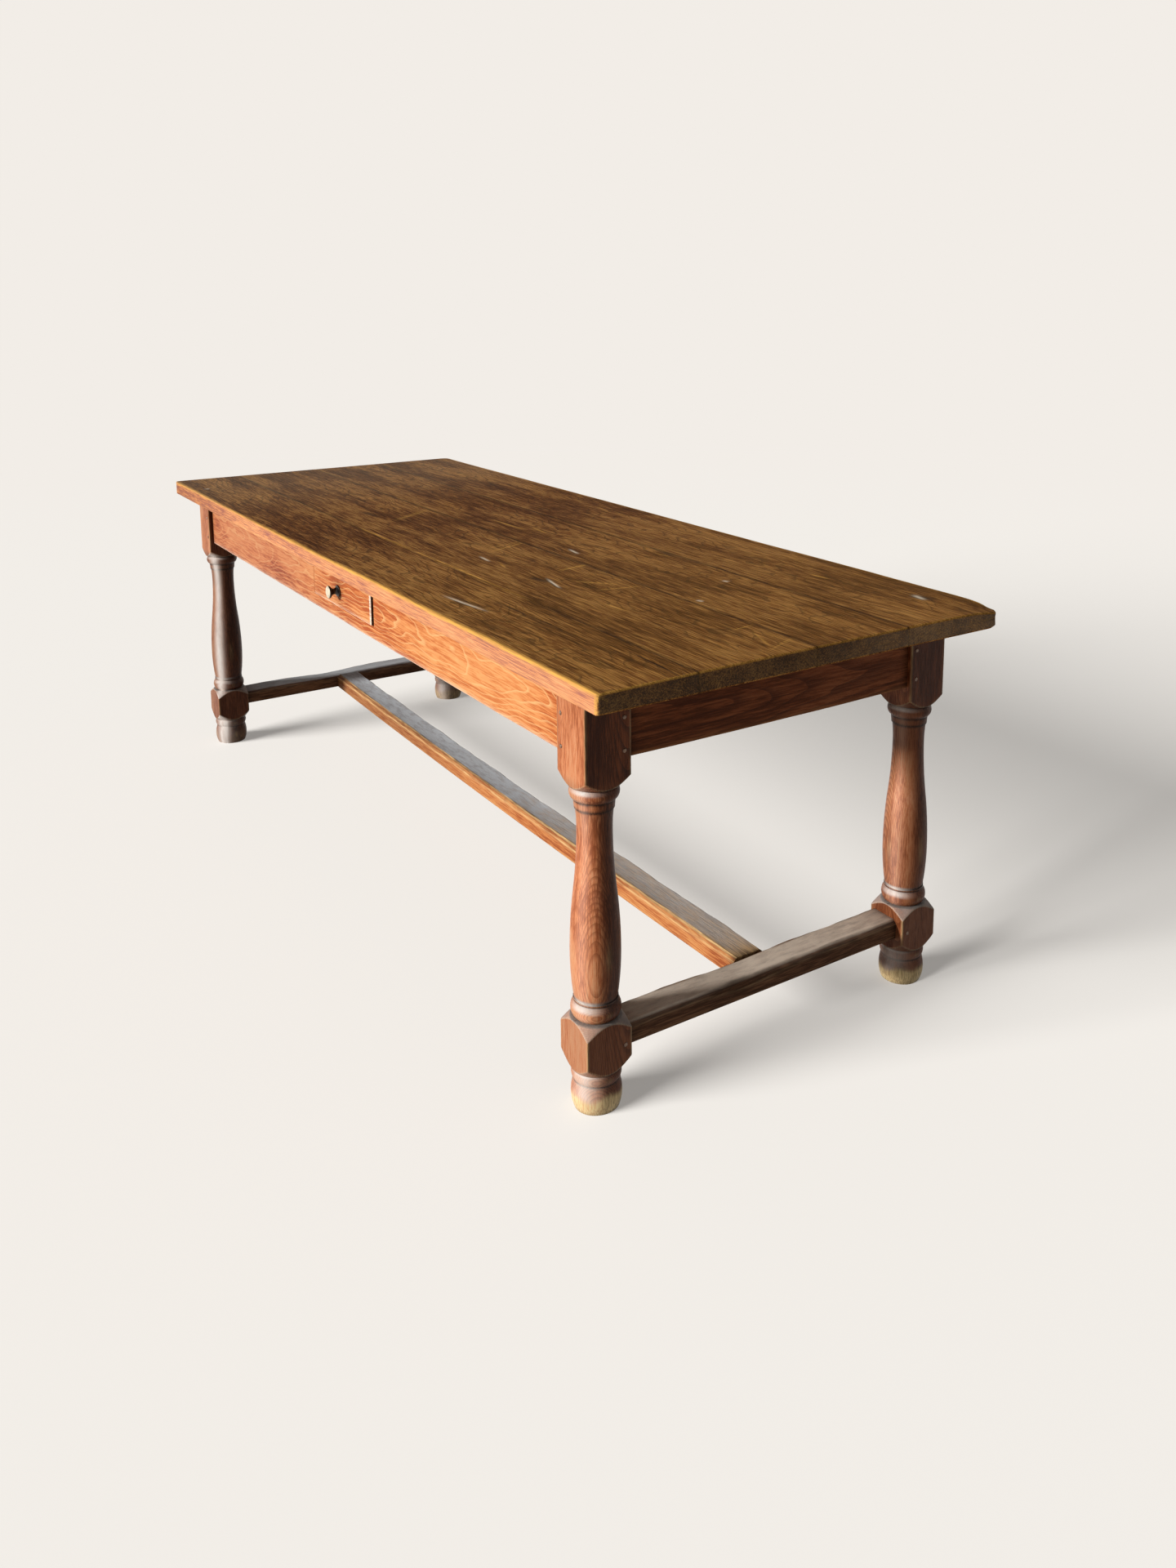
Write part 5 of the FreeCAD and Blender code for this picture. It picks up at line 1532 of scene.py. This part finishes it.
@dataclass
class Drawer:
    """The drawer's front and knob. The box behind them keeps its CAD solids."""

    span: Pair = (-0.1525, 0.187)
    face: Pair = (-0.382, -0.360)
    heights: Pair = (0.6273, 0.722)
    arris: float = 0.0016
    spacing: float = 0.012
    cap: float = 0.009
    rub_rows: Pair = (0.0070, 0.0081)
    rubbed_and_highlit_end: Pair = (0.0080, 0.0070)
    fingers_reach: float = 0.026
    knob_place: Pair = (0.0, 0.6643)
    knob_mm: tuple[Pair, ...] = (
        (-0.2, 12.6), (0.6, 13.0), (2.2, 13.0), (3.0, 12.4), (3.6, 10.6), (5.0, 8.4), (7.5, 7.0),
        (10.5, 6.6), (13.5, 7.2), (16.0, 9.2), (18.0, 11.8), (19.6, 13.4), (20.6, 14.0), (22.4, 14.0),
        (23.4, 13.6), (24.2, 12.6), (24.9, 10.4), (25.4, 7.6), (25.8, 4.2), (25.95, 1.2),
    )

    def build(self) -> None:
        """Builds and dresses the front and the knob."""
        self._front()
        self._knob()

    def _front(self) -> None:
        """The front: a rectangle with eased arrises carried along X, pale at its right end, where the arris
        is rubbed and carries a painted highlight.
        """
        rub = self.span[1] - np.array(self.rub_rows)
        places, insets = eased_stations(*self.span, self.spacing, self.arris, self.cap, rub)
        corners = oblong(self.face, self.heights, len(places))
        radii = np.array([1.4, 0.5, 0.5, 1.4]) * MM
        bar = Bar(insets, corners, radii, [even(3), even(8), even(3), even(10)])
        points = Grain.X.lay(places, bar.section())
        x, y, z = np.moveaxis(points, -1, 0)
        in_front = smooth(-y, -self.face[0] - 0.003, -self.face[0] - 0.001)
        flat_end = (insets > 0.9 * self.arris)[:, None]
        # The pale strip at the right end is a rubbed arris and a painted highlight.
        at_right = smooth(places, *(self.span[1] - inset for inset in self.rubbed_and_highlit_end))[:, None]
        worn = bar.wear(np.array([0.5, 0.0, 0.0, 0.3]), 0.002)
        fingers = np.hypot(x - self.knob_place[0], z - self.knob_place[1])
        grime_and_shade = 0.45 * np.exp(-((fingers / self.fingers_reach) ** 2)) * (y < self.face[0] + 0.002)
        shares = {
            "worn": np.maximum(worn, 0.95 * at_right * in_front) * ~flat_end,
            # Painted shade: the left part takes the darker second tones.
            "light_and_shade": 0.62 * smooth(-x, -0.25, 0.45),
            # Painted shade: the flat ends, seen in the gaps, are dark.
            "grime_and_shade": np.maximum(grime_and_shade, 1.0 * flat_end),
        }
        piece = link_mesh("oak_drawer_front", points, shares, 40)
        material = Finishes.APRON.material("drawer_front", (0.0, -0.30, 0.71), Grain.X)
        dressed(piece, "drawer_front", "drawer", material)

    def _knob(self) -> None:
        """The knob: a spool turned about Y, with a disc at the root, a waist and a domed head."""
        profile = np.array(self.knob_mm) * MM
        steps = np.linspace(0, len(profile) - 1, 58)
        out, radius = (np.interp(steps, np.arange(len(profile)), row)[:, None] for row in profile.T)
        angle = np.linspace(0, 2 * np.pi, 48, endpoint=False)
        x, z = self.knob_place
        away = np.broadcast_to(self.face[0] - out, (len(out), len(angle)))
        points = np.stack([x + radius * np.cos(angle), away, z + radius * np.sin(angle)], -1)
        shares = {"worn": smooth(out, 0.0228, 0.0242) * np.ones_like(angle)}
        piece = link_mesh("turned_drawer_knob", points, shares, 50)
        dressed(piece, "drawer_knob", "drawer", KnobFinish().material())


@dataclass
class InnerWork:
    """The CAD solids that stay as they are: the drawer's box, its slides, the bearers and screws."""

    along_x: tuple[str, ...] = ("drawer_back", "drawer_bottom", "drawer_stops")
    along_y: tuple[str, ...] = (
        "drawer_left_side", "drawer_right_side",
        "left_drawer_runner", "right_drawer_runner",
        "left_drawer_guide", "right_drawer_guide",
        "left_top_bearer", "right_top_bearer",
    )
    screws: str = "bearer_screws"
    heart_off: Point = (0.02, 0.0, 0.06)

    def build(self) -> None:
        """Gives each node its bare oak, with the heart of its tree just below it."""
        for grain, nodes in ((Grain.X, self.along_x), (Grain.Y, self.along_y)):
            for node in nodes:
                low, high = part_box(node)
                heart = (low + high) / 2 - Vector(self.heart_off)
                self._paint(node, Finishes.INNER.material(node, tuple(heart), grain))
        self._paint(self.screws, SteelFinish().material())

    @staticmethod
    def _paint(node: str, material: Material) -> None:
        """Puts a finish on a CAD node and reports it."""
        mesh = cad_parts[node].data
        mesh.materials.clear()
        mesh.materials.append(material)
        LOG.info("%s keeps its CAD solid, in %s", node, material.name)


@dataclass(frozen=True)
class Lamp:
    """A broad far lamp in front of the drawer's side.

    Rise is its height, turn its swing to the right and width its breadth, all in degrees.
    """

    name: str
    strength: float
    rise: float
    turn: float
    width: float
    for_floor: bool

    def build(self, floor: Object) -> None:
        """Hangs the lamp.

        Args:
            floor: The floor, which alone gets a lamp made for it and is left out by any other.
        """
        lamp = bpy.data.lights.new(self.name, "SUN")
        lamp.energy = self.strength
        lamp.angle = math.radians(self.width)
        rise = math.radians(self.rise)
        turn = math.radians(self.turn)
        level = math.cos(rise)
        away = Vector((-math.sin(turn) * level, math.cos(turn) * level, -math.sin(rise)))
        holder = bpy.data.objects.new(self.name, lamp)
        holder.rotation_euler = away.to_track_quat("-Z", "Y").to_euler()
        bpy.context.scene.collection.objects.link(holder)
        reached = bpy.data.collections.new(f"{self.name}_reaches")
        reached.objects.link(floor)
        state = "INCLUDE" if self.for_floor else "EXCLUDE"
        reached.collection_objects[0].light_linking.link_state = state
        holder.light_linking.receiver_collection = reached

    def on_floor(self) -> float:
        """The light that it lays on the floor."""
        return self.for_floor * self.strength * math.sin(math.radians(self.rise)) / math.pi


@dataclass
class Studio:
    """Floor, light and camera."""

    paper: str = "f2ede7"
    lit_paper: str = "f2eee8"
    floor_half: float = 60.0
    lit_share: float = 0.70
    bounce: float = 0.15
    lamps: tuple[Lamp, ...] = (
        Lamp("key", 3.4, 14.0, -11.0, 8.0, False),
        Lamp("floor_light", 20.0, 18.0, -4.0, 32.0, True),
    )
    sky: float = 0.16
    fade: Pair = (3.5, 7.0)
    sensor_mm: float = 36.0
    focal_pixels: float = 1572.8
    centre_pixel: Pair = (796.8, 600.0)
    picture: tuple[int, int] = (1440, 1920)
    eye: Point = (2.6731, -1.3630, 1.3522)
    gaze: Point = (-0.8159, 0.5542, -0.1650)
    sight: float = 200.0

    def build(self) -> None:
        """Builds the floor, the light and the camera, and sets the view transform."""
        self._world()
        floor = self._floor()
        for lamp in self.lamps:
            lamp.build(floor)
        self._camera()
        bpy.context.scene.view_settings.view_transform = "Standard"

    def _seen(self, tree: Tree) -> Socket:
        """1 for a ray from the camera, off a glossy surface or through glass, and 0 for light.

        Args:
            tree: The node tree that asks.

        Returns:
            The socket with that number.
        """
        rays = add(tree, "LightPath").node.outputs
        seen = rays["Is Camera Ray"]
        for name in ("Is Transmission Ray", "Is Glossy Ray"):
            seen = add(tree, "Math", {0: seen, 1: rays[name]}, operation="MAXIMUM")
        return seen

    def _world(self) -> None:
        """An even soft sky, which the camera sees as pale paper."""
        world = bpy.data.worlds.new("soft_studio")
        world.use_nodes = True
        tree = world.node_tree
        tree.nodes.clear()
        light = add(tree, "Background", {"Color": linear("ffffff"), "Strength": self.sky})
        paper = add(tree, "Background", {"Color": linear(self.paper), "Strength": 1.0})
        shown = add(tree, "MixShader", {0: self._seen(tree), 1: light, 2: paper})
        add(tree, "OutputWorld", {"Surface": shown})
        bpy.context.scene.world = world

    def _floor(self) -> Object:
        """A pale matt floor whose light part carries the shadow, and which fades into the paper."""
        material, tree = empty_material("Paper_matt_pale")
        level = sum(lamp.on_floor() for lamp in self.lamps) + self.sky
        paper = np.array(linear(self.lit_paper)[:3])
        matt = add(tree, "BsdfDiffuse", {"Color": (*(paper * self.lit_share / level), 1.0)})
        glow = add(tree, "Emission", {"Color": linear(self.paper), "Strength": 1 - self.lit_share})
        lit = add(tree, "AddShader", {0: matt, 1: glow})
        far = add(tree, "Emission", {"Color": linear(self.paper), "Strength": 1.0})
        spot = add(tree, "TexCoord", out="Object")
        distance = add(tree, "VectorMath", {0: spot}, "Value", operation="LENGTH")
        span = {0: distance, 1: self.fade[0], 2: self.fade[1]}
        fading = add(tree, "MapRange", span, interpolation_type="SMOOTHSTEP")
        shown = add(tree, "MixShader", {0: fading, 1: lit, 2: far})
        plain = add(tree, "BsdfDiffuse", {"Color": (*(paper * self.bounce), 1.0)})
        surface = add(tree, "MixShader", {0: self._seen(tree), 1: plain, 2: shown})
        add(tree, "OutputMaterial", {"Surface": surface})
        reach = self.floor_half
        corners = [(-reach, -reach, 0), (reach, -reach, 0), (reach, reach, 0), (-reach, reach, 0)]
        mesh = bpy.data.meshes.new("floor")
        mesh.from_pydata(corners, [], [(0, 1, 2, 3)])
        mesh.materials.append(material)
        floor = bpy.data.objects.new("floor", mesh)
        bpy.context.scene.collection.objects.link(floor)
        return floor

    def _camera(self) -> None:
        """The camera that took the picture, from its vanishing points and the table's edges."""
        lens = bpy.data.cameras.new("camera")
        wide, tall = self.picture
        lens.sensor_width = self.sensor_mm
        lens.lens = self.focal_pixels * self.sensor_mm / tall
        lens.shift_x = (wide / 2 - self.centre_pixel[0]) / tall
        lens.shift_y = (self.centre_pixel[1] - tall / 2) / tall
        lens.clip_end = self.sight
        camera = bpy.data.objects.new("camera", lens)
        camera.location = self.eye
        camera.rotation_euler = Vector(self.gaze).to_track_quat("-Z", "Y").to_euler()
        bpy.context.scene.collection.objects.link(camera)
        bpy.context.scene.camera = camera


def main() -> None:
    """Builds the table piece by piece, then the studio round it."""
    logging.basicConfig(level=logging.INFO, format="%(message)s")
    for assembly in (TableTop(), TurnedLegs(), Aprons(), Stretchers(), Pegs(), Drawer(), InnerWork()):
        LOG.info("%s", type(assembly).__name__)
        assembly.build()
    Studio().build()


if __name__ == "__main__":
    main()
